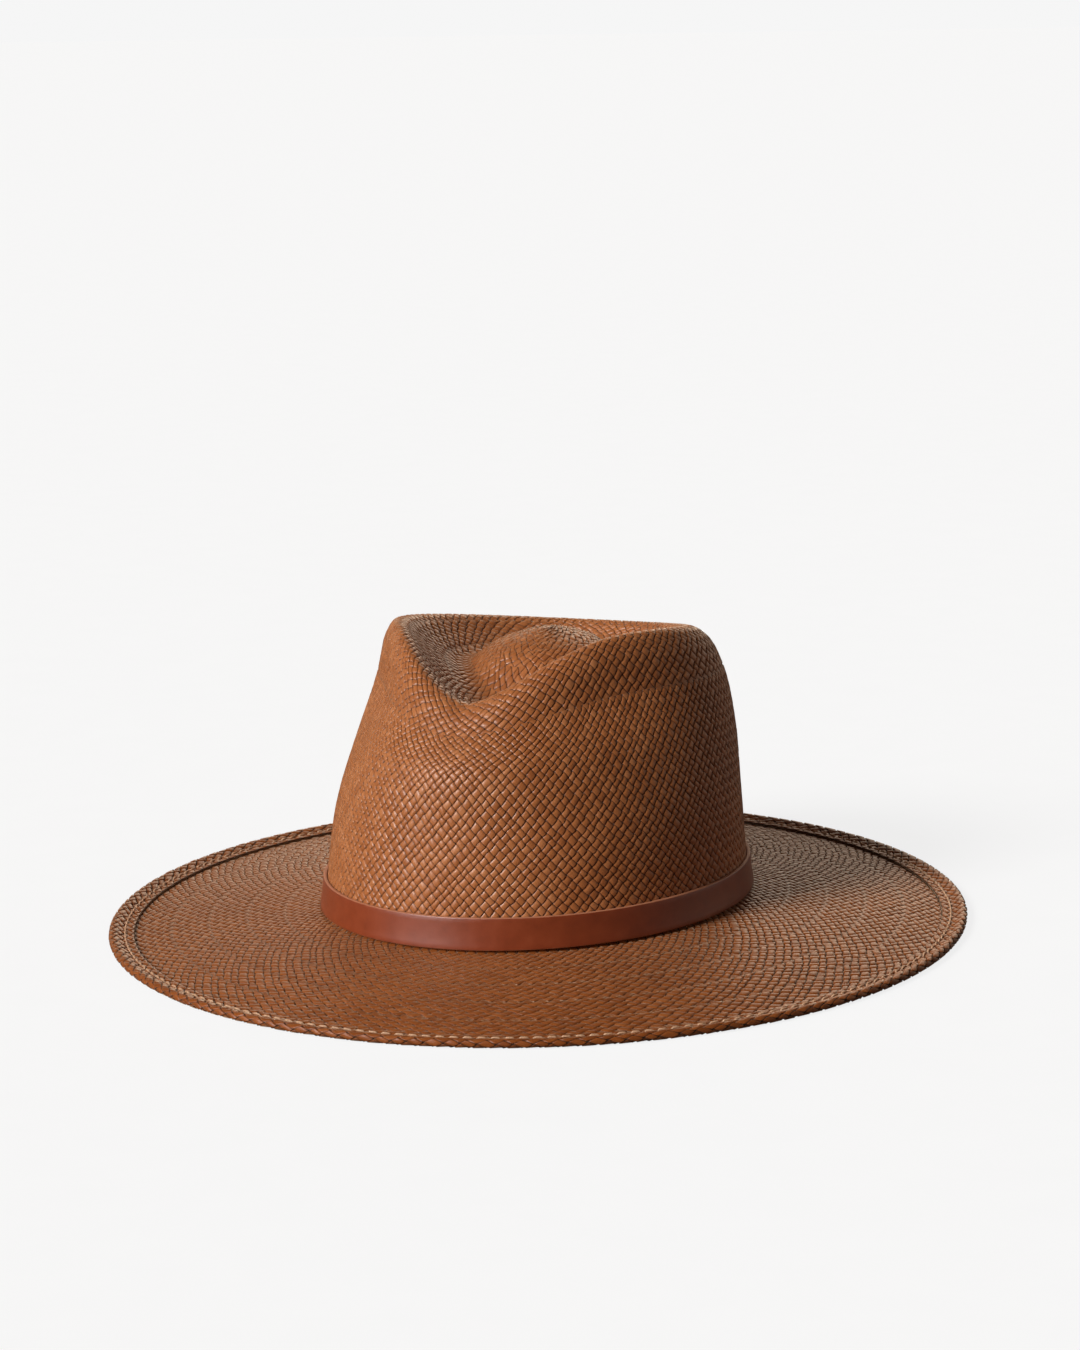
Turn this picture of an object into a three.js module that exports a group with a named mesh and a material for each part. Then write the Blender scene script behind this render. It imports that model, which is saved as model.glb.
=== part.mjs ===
// A wide-brimmed woven straw hat with a teardrop crease, a leather hatband and a leather sweatband.
// Millimetres, +Z up. The hat stands on the hem of its brim at z = 0, with its front towards -Y and
// the wearer's left towards +X. Angles run round the hat from the front (0) through the wearer's left.
import * as THREE from 'three';

// Overall sizes.
const headHalfWidth = 86.8; // outside of the straw at the headline, across
const headHalfLength = 102.5; // outside of the straw at the headline, front to back
const brimHalfWidth = 181;
const brimHalfLength = 187;
const headlineHeight = 12; // where the crown meets the brim, at the hat's sides
const crownHeight = 117; // from the headline to the crown's rim, at the sides
const strawThickness = 1.1;
const clearance = 0.3; // between pieces that touch on the real hat

// Crease and pinches of the crown.
const frontRise = 14; // how much higher the rim's front end lies, before the notch is cut into it
const notchDepth = 37.5;
const notchWidth = 44.7; // degrees from the front
const notchSharpness = 1.52;
const pinchDepth = 17.8;
const pinchWidth = 42; // degrees
const sideLean = 0.85; // degrees, the crown and headline stand a little higher on the wearer's left

// The crown as rings from the headline up over the rim and down into the crease. Every column is a
// share of the size it goes with, apart from shift, in millimetres, and pinchAt, in degrees.
const crownRings = [
  { up: 0.0, wide: 1.0, long: 1.0, shift: 0, rise: 0.157, notch: 0.0, pinch: 0.0, pinchAt: 55 },
  { up: 0.115, wide: 0.993, long: 0.995, shift: 0, rise: 0.157, notch: 0.0, pinch: 0.03, pinchAt: 55 },
  { up: 0.368, wide: 0.978, long: 0.968, shift: 0, rise: 0.171, notch: 0.0, pinch: 0.2, pinchAt: 58 },
  { up: 0.598, wide: 0.965, long: 0.95, shift: 0, rise: 0.3, notch: 0.062, pinch: 0.68, pinchAt: 54 },
  { up: 0.802, wide: 0.919, long: 0.878, shift: 0.5, rise: 0.374, notch: 0.437, pinch: 1.0, pinchAt: 52 },
  { up: 0.944, wide: 0.841, long: 0.801, shift: 1, rise: 0.88, notch: 0.85, pinch: 0.81, pinchAt: 50 },
  { up: 1.0, wide: 0.758, long: 0.709, shift: 0, rise: 1.0, notch: 1.0, pinch: 0.62, pinchAt: 49 },
  { up: 0.991, wide: 0.692, long: 0.66, shift: 1, rise: 0.92, notch: 0.992, pinch: 0.52, pinchAt: 48 },
  { up: 0.909, wide: 0.553, long: 0.566, shift: 4, rise: 0.571, notch: 0.72, pinch: 0.36, pinchAt: 46 },
  { up: 0.838, wide: 0.415, long: 0.42, shift: 6, rise: 0.143, notch: 0.32, pinch: 0.39, pinchAt: 45 },
  { up: 0.901, wide: 0.242, long: 0.263, shift: 9, rise: 0.0, notch: 0.08, pinch: 0.11, pinchAt: 45 },
  { up: 0.938, wide: 0.084, long: 0.107, shift: 11.5, rise: 0.0, notch: 0.0, pinch: 0.0, pinchAt: 45 },
  { up: 0.954, wide: 0.0, long: 0.0, shift: 11.5, rise: 0.0, notch: 0.0, pinch: 0.0, pinchAt: 45 },
];
// Where the crown's rows of facets lie, counted in rings.
const crownRows = [0, 1, 2, 3, 3.5, 4, 4.5, 5, 5.5, 6, 6.5, 7, 7.5, 8, 9, 9.5, 10, 11, 12];

// Brim and its turned hem.
const breakRadius = 1.5; // of the bend between crown and brim
const brimBulge = 0.3; // how far the brim's slope is arched, as a share of its fall
const brimRows = 5;
const hemFlat = 13; // width of the level strip that the hat stands on
const hemTurn = 11; // how far the edge is turned back over the top
const hemSeam = 7; // the stitching, measured in from the edge
const wireDiameter = 0.9;
const wirePlay = 0.25; // all round the wire, inside the fold
const hemGap = 0.3; // between the two layers of straw
const hemTaper = 2.4; // length over which the fold closes behind the wire
const threadSize = 0.4;
const threadPlay = 0.1; // above and below a thread that lies in its groove
const threadSidePlay = 0.35;

// Leather hatband.
const hatbandHeight = 13;
const hatbandThickness = 1.6;
const hatbandLift = -0.6; // its lower edge, above the headline
const hatbandCorner = 0.4;
const lapSteps = 2; // facets that the lapped ends share, at the back
const lapStitchHeight = 8;

// Sweatband, its reed and the tape round the reed.
const sweatbandHeight = 34;
const sweatbandThickness = 1.0;
const sweatbandLift = 3; // its lower edge, above the headline
const sweatbandSplit = 0.25; // degrees each side of the back, where its ends meet
const tapeThickness = 0.5;
const tapeFlap = 6; // how far the tape runs up behind the leather
const reedDiameter = 1.8;
const reedTurn = 0.35; // room between the reed and the tape
const sweatbandSeam = 4; // the seam, above the leather's lower edge
const bowWidth = 22;
const bowHeight = 8;
const bowThickness = 2;
const bowLift = 14; // its middle, above the headline
const labelHeight = 12;
const labelLift = 14;
const labelThickness = 0.3;
const labelStart = 150; // degrees
const labelSteps = 2;

const stepAngle = 7.5; // degrees between facets, the same on every ring, so that clearances stay even
const stepCount = 360 / stepAngle;
const roundSides = 6;

const radians = THREE.MathUtils.degToRad;
const sideSlope = Math.tan(radians(sideLean));

// The plan of an oval at an angle, moved out square to it.
function ovalPoint(halfWidth, halfLength, angle, out) {
  const turn = radians(angle);
  const normal = new THREE.Vector2(Math.sin(turn) / halfWidth, -Math.cos(turn) / halfLength).normalize();
  return new THREE.Vector2(
    halfWidth * Math.sin(turn) + normal.x * out,
    -halfLength * Math.cos(turn) + normal.y * out,
  );
}

// One point of a ring of the crown.
function ringPoint(ring, angle) {
  const turn = radians(angle);
  const fromFront = Math.abs(THREE.MathUtils.euclideanModulo(angle + 180, 360) - 180);
  const bell = (offset) => Math.exp(-((offset / pinchWidth) ** 2));
  const pinched = bell(fromFront - ring.pinchAt) + bell(fromFront + ring.pinchAt);
  const notched = Math.exp(-((fromFront / notchWidth) ** notchSharpness));
  const x = headHalfWidth * ring.wide * Math.sin(turn);
  const y = -headHalfLength * ring.long * Math.cos(turn);
  const reach = Math.hypot(x, y);
  const drawn = reach > 0 ? 1 - (pinchDepth * ring.pinch * pinched) / reach : 0;
  const up = headlineHeight + crownHeight * ring.up + frontRise * ring.rise * Math.cos(turn);
  return new THREE.Vector3(
    x * drawn,
    y * drawn + ring.shift,
    up - notchDepth * ring.notch * notched + sideSlope * x * drawn,
  );
}

// The crown's outside from the headline to its middle, at an angle.
function crownCurve(angle) {
  return new THREE.CatmullRomCurve3(crownRings.map((ring) => ringPoint(ring, angle)), false, 'centripetal');
}

const lastRing = crownRings.length - 1;

function crownPoint(angle, row) {
  return crownCurve(angle).getPoint(row / lastRing);
}

// The direction out of the crown's surface. It is level along the headline and upright in the middle.
function crownNormal(angle, row) {
  if (row === lastRing) return new THREE.Vector3(0, 0, 1);
  const nearby = 0.01;
  const along = crownPoint(angle + nearby, row).sub(crownPoint(angle - nearby, row));
  const above = crownPoint(angle, Math.min(row + nearby, lastRing));
  const upward = above.sub(crownPoint(angle, Math.max(row - nearby, 0)));
  const normal = along.cross(upward);
  if (row === 0) normal.z = 0;
  return normal.normalize();
}

// The row of the crown that lies a given height above the headline.
function rowAtHeight(angle, height) {
  const curve = crownCurve(angle);
  const base = curve.getPoint(0).z;
  let low = 0;
  let high = 4;
  while (high - low > 1e-4) {
    const middle = (low + high) / 2;
    if (curve.getPoint(middle / lastRing).z - base < height) low = middle;
    else high = middle;
  }
  return low;
}

// A point beside the crown's wall: out from the straw's outside, and up from the headline.
function besideWall(angle, out, up) {
  if (up <= 0) {
    const plan = ovalPoint(headHalfWidth, headHalfLength, angle, out);
    return new THREE.Vector3(plan.x, plan.y, crownPoint(angle, 0).z + up);
  }
  const row = rowAtHeight(angle, up);
  return crownPoint(angle, row).addScaledVector(crownNormal(angle, row).setZ(0).normalize(), out);
}

function anglesRound() {
  return Array.from({ length: stepCount }, (_, step) => step * stepAngle);
}

// Joins a row of outlines, each a loop of points in the same order, into one closed body. It runs on
// from the last outline to the first, or has a flat end at each of them.
function loft(outlines, isRing) {
  const size = outlines[0].length;
  const points = outlines.flat();
  const triangles = [];
  const spans = isRing ? outlines.length : outlines.length - 1;
  for (let i = 0; i < spans; i += 1) {
    const here = i * size;
    const next = ((i + 1) % outlines.length) * size;
    for (let j = 0; j < size; j += 1) {
      const k = (j + 1) % size;
      triangles.push([here + j, next + j, next + k], [here + j, next + k, here + k]);
    }
  }
  if (!isRing) {
    const last = (outlines.length - 1) * size;
    for (let j = 1; j < size - 1; j += 1) {
      triangles.push([0, j, j + 1], [last, last + j + 1, last + j]);
    }
  }
  const apart = (a, b) => points[a].distanceTo(points[b]) > 1e-4;
  const whole = triangles.filter(([a, b, c]) => apart(a, b) && apart(b, c) && apart(c, a));
  const geometry = new THREE.BufferGeometry().setFromPoints(points);
  geometry.setIndex(whole.flat());
  geometry.computeVertexNormals();
  return geometry;
}

function makeMesh(name, geometry, material) {
  const mesh = new THREE.Mesh(geometry, material);
  mesh.name = name;
  return mesh;
}

// A section of points round a circle, counter-clockwise.
function roundSection(outMiddle, upMiddle, radius) {
  return Array.from({ length: roundSides }, (_, side) => {
    const turn = (side / roundSides) * Math.PI * 2;
    return [outMiddle + radius * Math.cos(turn), upMiddle + radius * Math.sin(turn)];
  });
}

function boxSection(outLow, outHigh, upLow, upHigh) {
  return [
    [outLow, upLow],
    [outHigh, upLow],
    [outHigh, upHigh],
    [outLow, upHigh],
  ];
}

// A ring whose section is the same all the way along the crown's wall.
function ringBesideWall(section) {
  return loft(
    anglesRound().map((angle) => section.map(([out, up]) => besideWall(angle, out, up))),
    true,
  );
}

function strawMaterial() {
  return new THREE.MeshStandardMaterial({ color: 0x8a5330, roughness: 0.55, metalness: 0 });
}

function leatherMaterial() {
  return new THREE.MeshStandardMaterial({ color: 0x7a3523, roughness: 0.45, metalness: 0 });
}

function sweatLeatherMaterial() {
  return new THREE.MeshStandardMaterial({ color: 0x6b3a26, roughness: 0.6, metalness: 0 });
}

function threadMaterial() {
  return new THREE.MeshStandardMaterial({ color: 0xa9744f, roughness: 0.7, metalness: 0 });
}

function ribbonMaterial() {
  return new THREE.MeshStandardMaterial({ color: 0x4a2a1c, roughness: 0.75, metalness: 0 });
}

function labelMaterial() {
  return new THREE.MeshStandardMaterial({ color: 0xe4dccb, roughness: 0.8, metalness: 0 });
}

function wireMaterial() {
  return new THREE.MeshStandardMaterial({ color: 0x9a9a98, roughness: 0.35, metalness: 1 });
}

function reedMaterial() {
  return new THREE.MeshStandardMaterial({ color: 0xd8d2c4, roughness: 0.5, metalness: 0 });
}

// The woven crown: one skin of straw, open at the headline.
function buildCrown() {
  const outlines = anglesRound().map((angle) => {
    const outside = crownRows.map((row) => crownPoint(angle, row));
    const inside = crownRows.map((row) => {
      return crownPoint(angle, row).addScaledVector(crownNormal(angle, row), -strawThickness);
    });
    return [...outside, ...inside.reverse()];
  });
  return makeMesh('crown', loft(outlines, true), strawMaterial());
}

// A point of the brim between the bend at the headline (0) and the level hem (1).
function brimPoint(angle, share, isTop) {
  const inner = ovalPoint(headHalfWidth, headHalfLength, angle, breakRadius);
  const outer = ovalPoint(brimHalfWidth, brimHalfLength, angle, -hemFlat);
  const bend = crownPoint(angle, 0).z - clearance - breakRadius;
  const fall = bend - strawThickness;
  const top = strawThickness + fall * (1 - share) * (1 + brimBulge * share);
  return new THREE.Vector3(
    THREE.MathUtils.lerp(inner.x, outer.x, share),
    THREE.MathUtils.lerp(inner.y, outer.y, share),
    isTop ? top : top - strawThickness,
  );
}

// Points of the bend at the headline, from the crown's edge down and out.
function bendPoints(angle, radius) {
  const turns = [0, 30, 60];
  return turns.map((turn) => {
    const plan = ovalPoint(
      headHalfWidth,
      headHalfLength,
      angle,
      breakRadius - radius * Math.cos(radians(turn)),
    );
    const drop = clearance + radius * Math.sin(radians(turn));
    return new THREE.Vector3(plan.x, plan.y, crownPoint(angle, 0).z - drop);
  });
}

const hemRoom = wireDiameter / 2 + wirePlay; // radius of the space that the wire lies in
const foldRadius = hemRoom + strawThickness;

const threadGrooveWidth = threadSize + 2 * threadSidePlay;
const threadGrooveDepth = threadSize + 2 * threadPlay;

// The hem in section, as [distance in from the edge, height], along the underside, round the fold,
// back over the top and out again between the two layers.
function hemSection() {
  const fold = (radius, turn) => [
    foldRadius - radius * Math.cos(radians(turn)),
    foldRadius + radius * Math.sin(radians(turn)),
  ];
  const turns = [-45, 0, 45, 90];
  const taperEnd = foldRadius + hemTaper;
  const underFlap = strawThickness + hemGap;
  const halfGroove = threadGrooveWidth / 2;
  return [
    [hemSeam + halfGroove, 0],
    [hemSeam + halfGroove, threadGrooveDepth],
    [hemSeam - halfGroove, threadGrooveDepth],
    [hemSeam - halfGroove, 0],
    [foldRadius, 0],
    ...turns.map((turn) => fold(foldRadius, turn)),
    [taperEnd, underFlap + strawThickness],
    [hemTurn, underFlap + strawThickness],
    [hemTurn, underFlap],
    [taperEnd, underFlap],
    ...[...turns].reverse().map((turn) => fold(hemRoom, turn)),
    [foldRadius, strawThickness],
  ];
}

// The woven brim, bent up at the headline and turned back over itself at the edge.
function buildBrim() {
  const shares = Array.from({ length: brimRows + 1 }, (_, row) => row / brimRows);
  const outlines = anglesRound().map((angle) => {
    const hem = hemSection().map(([inward, height]) => {
      const plan = ovalPoint(brimHalfWidth, brimHalfLength, angle, -inward);
      return new THREE.Vector3(plan.x, plan.y, height);
    });
    return [
      ...bendPoints(angle, breakRadius + strawThickness),
      ...shares.map((share) => brimPoint(angle, share, false)),
      ...hem,
      ...shares.map((share) => brimPoint(angle, share, true)).reverse(),
      ...bendPoints(angle, breakRadius).reverse(),
    ];
  });
  return makeMesh('brim', loft(outlines, true), strawMaterial());
}

// A ring that follows the brim's edge. Its section is given as [distance in from the edge, height].
function ringAlongEdge(section, angles, isRing) {
  const outlines = angles.map((angle) => section.map(([inward, height]) => {
    const plan = ovalPoint(brimHalfWidth, brimHalfLength, angle, -inward);
    return new THREE.Vector3(plan.x, plan.y, height);
  }));
  return loft(outlines, isRing);
}

// The brim's shaping wire, with its two ends butted at the back.
function buildBrimWire() {
  const endGap = 0.1;
  const inner = Array.from({ length: stepCount - 1 }, (_, step) => (step + 1) * stepAngle - 180);
  const angles = [-180 + endGap, ...inner, 180 - endGap];
  const section = roundSection(-foldRadius, foldRadius, wireDiameter / 2).map(([out, up]) => [-out, up]);
  return makeMesh('brim_wire', ringAlongEdge(section, angles, false), wireMaterial());
}

// The upper thread of the hem's lockstitch, along the top of the turned edge.
function buildHemTopThread() {
  const half = threadSize / 2;
  const height = strawThickness + hemGap + strawThickness + clearance + half;
  const section = boxSection(-half, half, height - half, height + half).map(([out, up]) => [hemSeam - out, up]);
  return makeMesh('hem_top_thread', ringAlongEdge(section, anglesRound(), true), threadMaterial());
}

// The lower thread, drawn up into the straw so that the hat stands on its straw.
function buildHemUnderThread() {
  const half = threadSize / 2;
  const height = threadGrooveDepth / 2;
  const section = boxSection(-half, half, height - half, height + half).map(([out, up]) => [hemSeam - out, up]);
  return makeMesh('hem_under_thread', ringAlongEdge(section, anglesRound(), true), threadMaterial());
}

// A section of the hatband with its corners taken off, for a strap lifted out from the straw.
function hatbandSection(lift) {
  const inner = clearance + lift;
  const outer = inner + hatbandThickness;
  const low = hatbandLift;
  const high = hatbandLift + hatbandHeight;
  return [
    [inner, low],
    [outer - hatbandCorner, low],
    [outer, low + hatbandCorner],
    [outer, high - hatbandCorner],
    [outer - hatbandCorner, high],
    [inner, high],
  ];
}

const lapLift = hatbandThickness + clearance;
const lapHalfAngle = (lapSteps * stepAngle) / 2;

// The leather strap, once round the crown with its ends lapped at the back.
function buildHatband() {
  const first = -180 - lapHalfAngle;
  const count = stepCount + lapSteps;
  const outlines = Array.from({ length: count + 1 }, (_, step) => {
    const angle = first + step * stepAngle;
    const isOver = angle >= 180 - lapHalfAngle;
    const section = hatbandSection(isOver ? lapLift : 0);
    return section.map(([out, up]) => besideWall(angle, out, up));
  });
  return makeMesh('hatband', loft(outlines, false), leatherMaterial());
}

// The thread that holds the lapped ends together, one upright bar.
function buildHatbandStitch() {
  const halfWidth = 0.2; // degrees
  const middle = 180 + lapHalfAngle / 2;
  const face = clearance + lapLift + hatbandThickness + clearance;
  const low = hatbandLift + (hatbandHeight - lapStitchHeight) / 2;
  const section = boxSection(face, face + threadSize, low, low + lapStitchHeight);
  const outlines = [middle - halfWidth, middle + halfWidth].map((angle) => {
    return section.map(([out, up]) => besideWall(angle, out, up));
  });
  return makeMesh('hatband_stitch', loft(outlines, false), threadMaterial());
}

// Depths inside the crown, all measured in from the straw's outside.
const tapeOuter = strawThickness + clearance;
const leatherOuter = tapeOuter + tapeThickness + clearance;
const leatherInner = leatherOuter + sweatbandThickness;
const reedMiddle = leatherOuter + sweatbandThickness / 2;
const reedHeight = sweatbandLift - clearance - tapeThickness - reedTurn - reedDiameter / 2;

// The leather band that sits on the head, a strip whose ends meet at the back.
function buildSweatband() {
  const inner = Array.from({ length: stepCount - 1 }, (_, step) => (step + 1) * stepAngle - 180);
  const angles = [-180 + sweatbandSplit, ...inner, 180 - sweatbandSplit];
  const rows = [0, 1 / 3, 2 / 3, 1].map((share) => sweatbandLift + share * sweatbandHeight);
  const section = [
    ...rows.map((up) => [-leatherOuter, up]),
    ...[...rows].reverse().map((up) => [-leatherInner, up]),
  ];
  const outlines = angles.map((angle) => section.map(([out, up]) => besideWall(angle, out, up)));
  return makeMesh('sweatband', loft(outlines, false), sweatLeatherMaterial());
}

// The plastic reed that keeps the sweatband's lower edge round.
function buildReed() {
  const section = roundSection(-reedMiddle, reedHeight, reedDiameter / 2);
  return makeMesh('sweatband_reed', ringBesideWall(section), reedMaterial());
}

// The tape folded round the reed. One end runs up between the leather and the straw.
function buildReedTape() {
  const innerRadius = reedDiameter / 2 + reedTurn;
  const outerRadius = innerRadius + tapeThickness;
  const around = (radius, turn) => [
    -reedMiddle + radius * Math.cos(radians(turn)),
    reedHeight + radius * Math.sin(radians(turn)),
  ];
  const flapTop = sweatbandLift + tapeFlap;
  const flapFoot = reedHeight + innerRadius;
  const turns = [130, 180, 225, 270, 315];
  const section = [
    ...turns.map((turn) => around(outerRadius, turn)),
    [-tapeOuter, reedHeight],
    [-tapeOuter, flapTop],
    [-tapeOuter - tapeThickness, flapTop],
    [-tapeOuter - tapeThickness, flapFoot],
    ...[-5, -45, -90, -135, -180, -230].map((turn) => around(innerRadius, turn)),
  ];
  return makeMesh('reed_tape', ringBesideWall(section), ribbonMaterial());
}

// The seam that joins the leather to the tape.
function buildSweatbandThread() {
  const half = threadSize / 2;
  const out = -(leatherInner + clearance + half);
  const up = sweatbandLift + sweatbandSeam;
  const section = boxSection(out - half, out + half, up - half, up + half);
  return makeMesh('sweatband_thread', ringBesideWall(section), threadMaterial());
}

// The small ribbon bow over the join of the sweatband, at the back.
function buildSweatbandBow() {
  const halfWidth = bowWidth / 2;
  const halfHeight = bowHeight / 2;
  const knotHalfWidth = 2;
  const knotHalfHeight = 2;
  const outline = new THREE.Shape();
  outline.moveTo(-knotHalfWidth, -knotHalfHeight);
  outline.lineTo(knotHalfWidth, -knotHalfHeight);
  outline.lineTo(halfWidth, -halfHeight);
  outline.quadraticCurveTo(halfWidth - knotHalfWidth, 0, halfWidth, halfHeight);
  outline.lineTo(knotHalfWidth, knotHalfHeight);
  outline.lineTo(-knotHalfWidth, knotHalfHeight);
  outline.lineTo(-halfWidth, halfHeight);
  outline.quadraticCurveTo(-halfWidth + knotHalfWidth, 0, -halfWidth, -halfHeight);
  outline.closePath();
  const geometry = new THREE.ExtrudeGeometry(outline, {
    depth: bowThickness,
    bevelEnabled: false,
    curveSegments: 4,
  });
  const mesh = makeMesh('sweatband_bow', geometry, ribbonMaterial());
  // The leather curves and leans in, so it comes nearest to the upper corners of the ribbon.
  const endAngle = THREE.MathUtils.radToDeg(Math.asin(halfWidth / (headHalfWidth - leatherInner)));
  const nearest = besideWall(180 - endAngle, -leatherInner, bowLift + halfHeight);
  const middle = besideWall(180, -leatherInner, bowLift);
  mesh.rotation.x = Math.PI / 2;
  mesh.position.set(0, nearest.y - clearance, middle.z);
  return mesh;
}

// A blank size label sewn to the inside of the sweatband.
function buildSizeLabel() {
  const face = -(leatherInner + clearance);
  const section = boxSection(face - labelThickness, face, labelLift, labelLift + labelHeight);
  const outlines = Array.from({ length: labelSteps + 1 }, (_, step) => {
    const angle = labelStart + step * stepAngle;
    return section.map(([out, up]) => besideWall(angle, out, up));
  });
  return makeMesh('size_label', loft(outlines, false), labelMaterial());
}

const hat = new THREE.Group();
hat.add(
  buildCrown(),
  buildBrim(),
  buildBrimWire(),
  buildHemTopThread(),
  buildHemUnderThread(),
  buildHatband(),
  buildHatbandStitch(),
  buildSweatband(),
  buildReed(),
  buildReedTape(),
  buildSweatbandThread(),
  buildSweatbandBow(),
  buildSizeLabel(),
);

export default hat;
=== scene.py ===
import math

import bpy
import numpy as np
from mathutils import Matrix, Vector


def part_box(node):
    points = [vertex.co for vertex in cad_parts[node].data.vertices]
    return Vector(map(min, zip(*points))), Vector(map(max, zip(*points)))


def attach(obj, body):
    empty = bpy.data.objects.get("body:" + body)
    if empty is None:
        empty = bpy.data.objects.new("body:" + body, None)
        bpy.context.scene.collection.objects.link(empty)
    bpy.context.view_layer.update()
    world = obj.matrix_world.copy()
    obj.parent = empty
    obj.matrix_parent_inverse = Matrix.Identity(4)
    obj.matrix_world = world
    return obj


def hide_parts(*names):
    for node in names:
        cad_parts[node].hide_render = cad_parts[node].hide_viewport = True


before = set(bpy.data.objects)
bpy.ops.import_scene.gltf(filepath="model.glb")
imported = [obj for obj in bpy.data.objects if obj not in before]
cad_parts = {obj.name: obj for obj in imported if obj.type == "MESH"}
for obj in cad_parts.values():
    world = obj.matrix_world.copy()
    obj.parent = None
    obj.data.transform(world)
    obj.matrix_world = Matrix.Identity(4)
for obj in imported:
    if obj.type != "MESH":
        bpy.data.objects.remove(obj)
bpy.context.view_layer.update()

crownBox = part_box("crown")
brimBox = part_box("brim")

# The hat's own shape, in metres and degrees. Angles run from the front through the wearer's left.
hat = {
    "headHalfWidth": crownBox[1].x,
    "headHalfLength": -crownBox[0].y,
    "brimHalfWidth": brimBox[1].x,
    "brimHalfLength": brimBox[1].y,
    "headlineHeight": 0.012,
    "crownHeight": 0.117,
    "strawThickness": 0.0011,
    "frontRise": 0.014,
    "notchDepth": 0.0375,
    "notchWidth": 44.7,
    "notchSharpness": 1.52,
    "pinchDepth": 0.0178,
    "pinchWidth": 42,
    "sideLean": 0.85,
    "clearance": 0.0003,
}

# Rings of the crown from the headline over the rim and down into the crease:
# up, wide, long, shift, rise, notch, pinch, pinchAt
crownRings = [
    (0.0, 1.0, 1.0, 0.0, 0.157, 0.0, 0.0, 55),
    (0.115, 0.993, 0.995, 0.0, 0.157, 0.0, 0.03, 55),
    (0.368, 0.978, 0.968, 0.0, 0.171, 0.0, 0.2, 58),
    (0.598, 0.965, 0.95, 0.0, 0.3, 0.062, 0.68, 54),
    (0.802, 0.919, 0.878, 0.0005, 0.374, 0.437, 1.0, 52),
    (0.944, 0.841, 0.801, 0.001, 0.88, 0.85, 0.81, 50),
    (1.0, 0.758, 0.709, 0.0, 1.0, 1.0, 0.62, 49),
    (0.991, 0.692, 0.66, 0.001, 0.92, 0.992, 0.52, 48),
    (0.909, 0.553, 0.566, 0.004, 0.571, 0.72, 0.36, 46),
    (0.838, 0.415, 0.42, 0.006, 0.143, 0.32, 0.39, 45),
    (0.901, 0.242, 0.263, 0.009, 0.0, 0.08, 0.11, 45),
    (0.938, 0.084, 0.107, 0.0115, 0.0, 0.0, 0.0, 45),
    (0.954, 0.0, 0.0, 0.0115, 0.0, 0.0, 0.0, 45),
]

sheetAngles = np.arange(-180, 180, 0.5)  # columns of every fine sheet, from the back round to the back
rowsPerRing = 28


def ringPlaces(ring, angles):
    up, wide, long, shift, rise, notch, pinch, pinchAt = ring
    turn = np.radians(angles)
    fromFront = np.abs((angles + 180) % 360 - 180)
    near = np.exp(-(((fromFront - pinchAt) / hat["pinchWidth"]) ** 2))
    far = np.exp(-(((fromFront + pinchAt) / hat["pinchWidth"]) ** 2))
    notched = np.exp(-((fromFront / hat["notchWidth"]) ** hat["notchSharpness"]))
    x = hat["headHalfWidth"] * wide * np.sin(turn)
    y = -hat["headHalfLength"] * long * np.cos(turn)
    reach = np.maximum(np.hypot(x, y), 1e-9)
    drawn = 1 - hat["pinchDepth"] * pinch * (near + far) / reach
    z = hat["headlineHeight"] + hat["crownHeight"] * up + hat["frontRise"] * rise * np.cos(turn)
    z = z - hat["notchDepth"] * notch * notched + math.tan(math.radians(hat["sideLean"])) * x * drawn
    return np.stack([x * drawn, y * drawn + shift, z], axis=-1)


def smoothThrough(rings, perSpan):
    # a centripetal Catmull-Rom curve through the rings, at every angle at once
    def stride(a, b):
        return np.sqrt(np.linalg.norm(b - a, axis=-1, keepdims=True))

    rows = []
    for i in range(len(rings) - 1):
        here, there = rings[i], rings[i + 1]
        before = rings[i - 1] if i > 0 else 2 * rings[0] - rings[1]
        after = rings[i + 2] if i + 2 < len(rings) else 2 * rings[-1] - rings[-2]
        d0, d1, d2 = stride(before, here), stride(here, there), stride(there, after)
        t1 = ((here - before) / d0 - (there - before) / (d0 + d1) + (there - here) / d1) * d1
        t2 = ((there - here) / d1 - (after - here) / (d1 + d2) + (after - there) / d2) * d1
        for t in np.arange(perSpan) / perSpan:
            cube = 2 * here - 2 * there + t1 + t2
            square = -3 * here + 3 * there - 2 * t1 - t2
            rows.append(here + t1 * t + square * t * t + cube * t ** 3)
    rows.append(rings[-1])
    return np.array(rows)


def makeSheet(places):
    # a fine sheet of places with its normals, and how far along it each row lies
    along = np.roll(places, -1, axis=1) - np.roll(places, 1, axis=1)
    upward = np.gradient(places, axis=0)
    normals = np.cross(along, upward)
    size = np.linalg.norm(normals, axis=-1, keepdims=True)
    normals = np.where(size > 1e-12, normals / np.maximum(size, 1e-12), [0, 0, 1])
    steps = np.linalg.norm(np.diff(places, axis=0), axis=-1).mean(axis=1)
    around = np.linalg.norm(np.roll(places, -1, axis=1) - places, axis=-1).sum(axis=1)
    return {
        "places": places,
        "normals": normals,
        "length": np.concatenate([[0], np.cumsum(steps)]),
        "around": around,
    }


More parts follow.
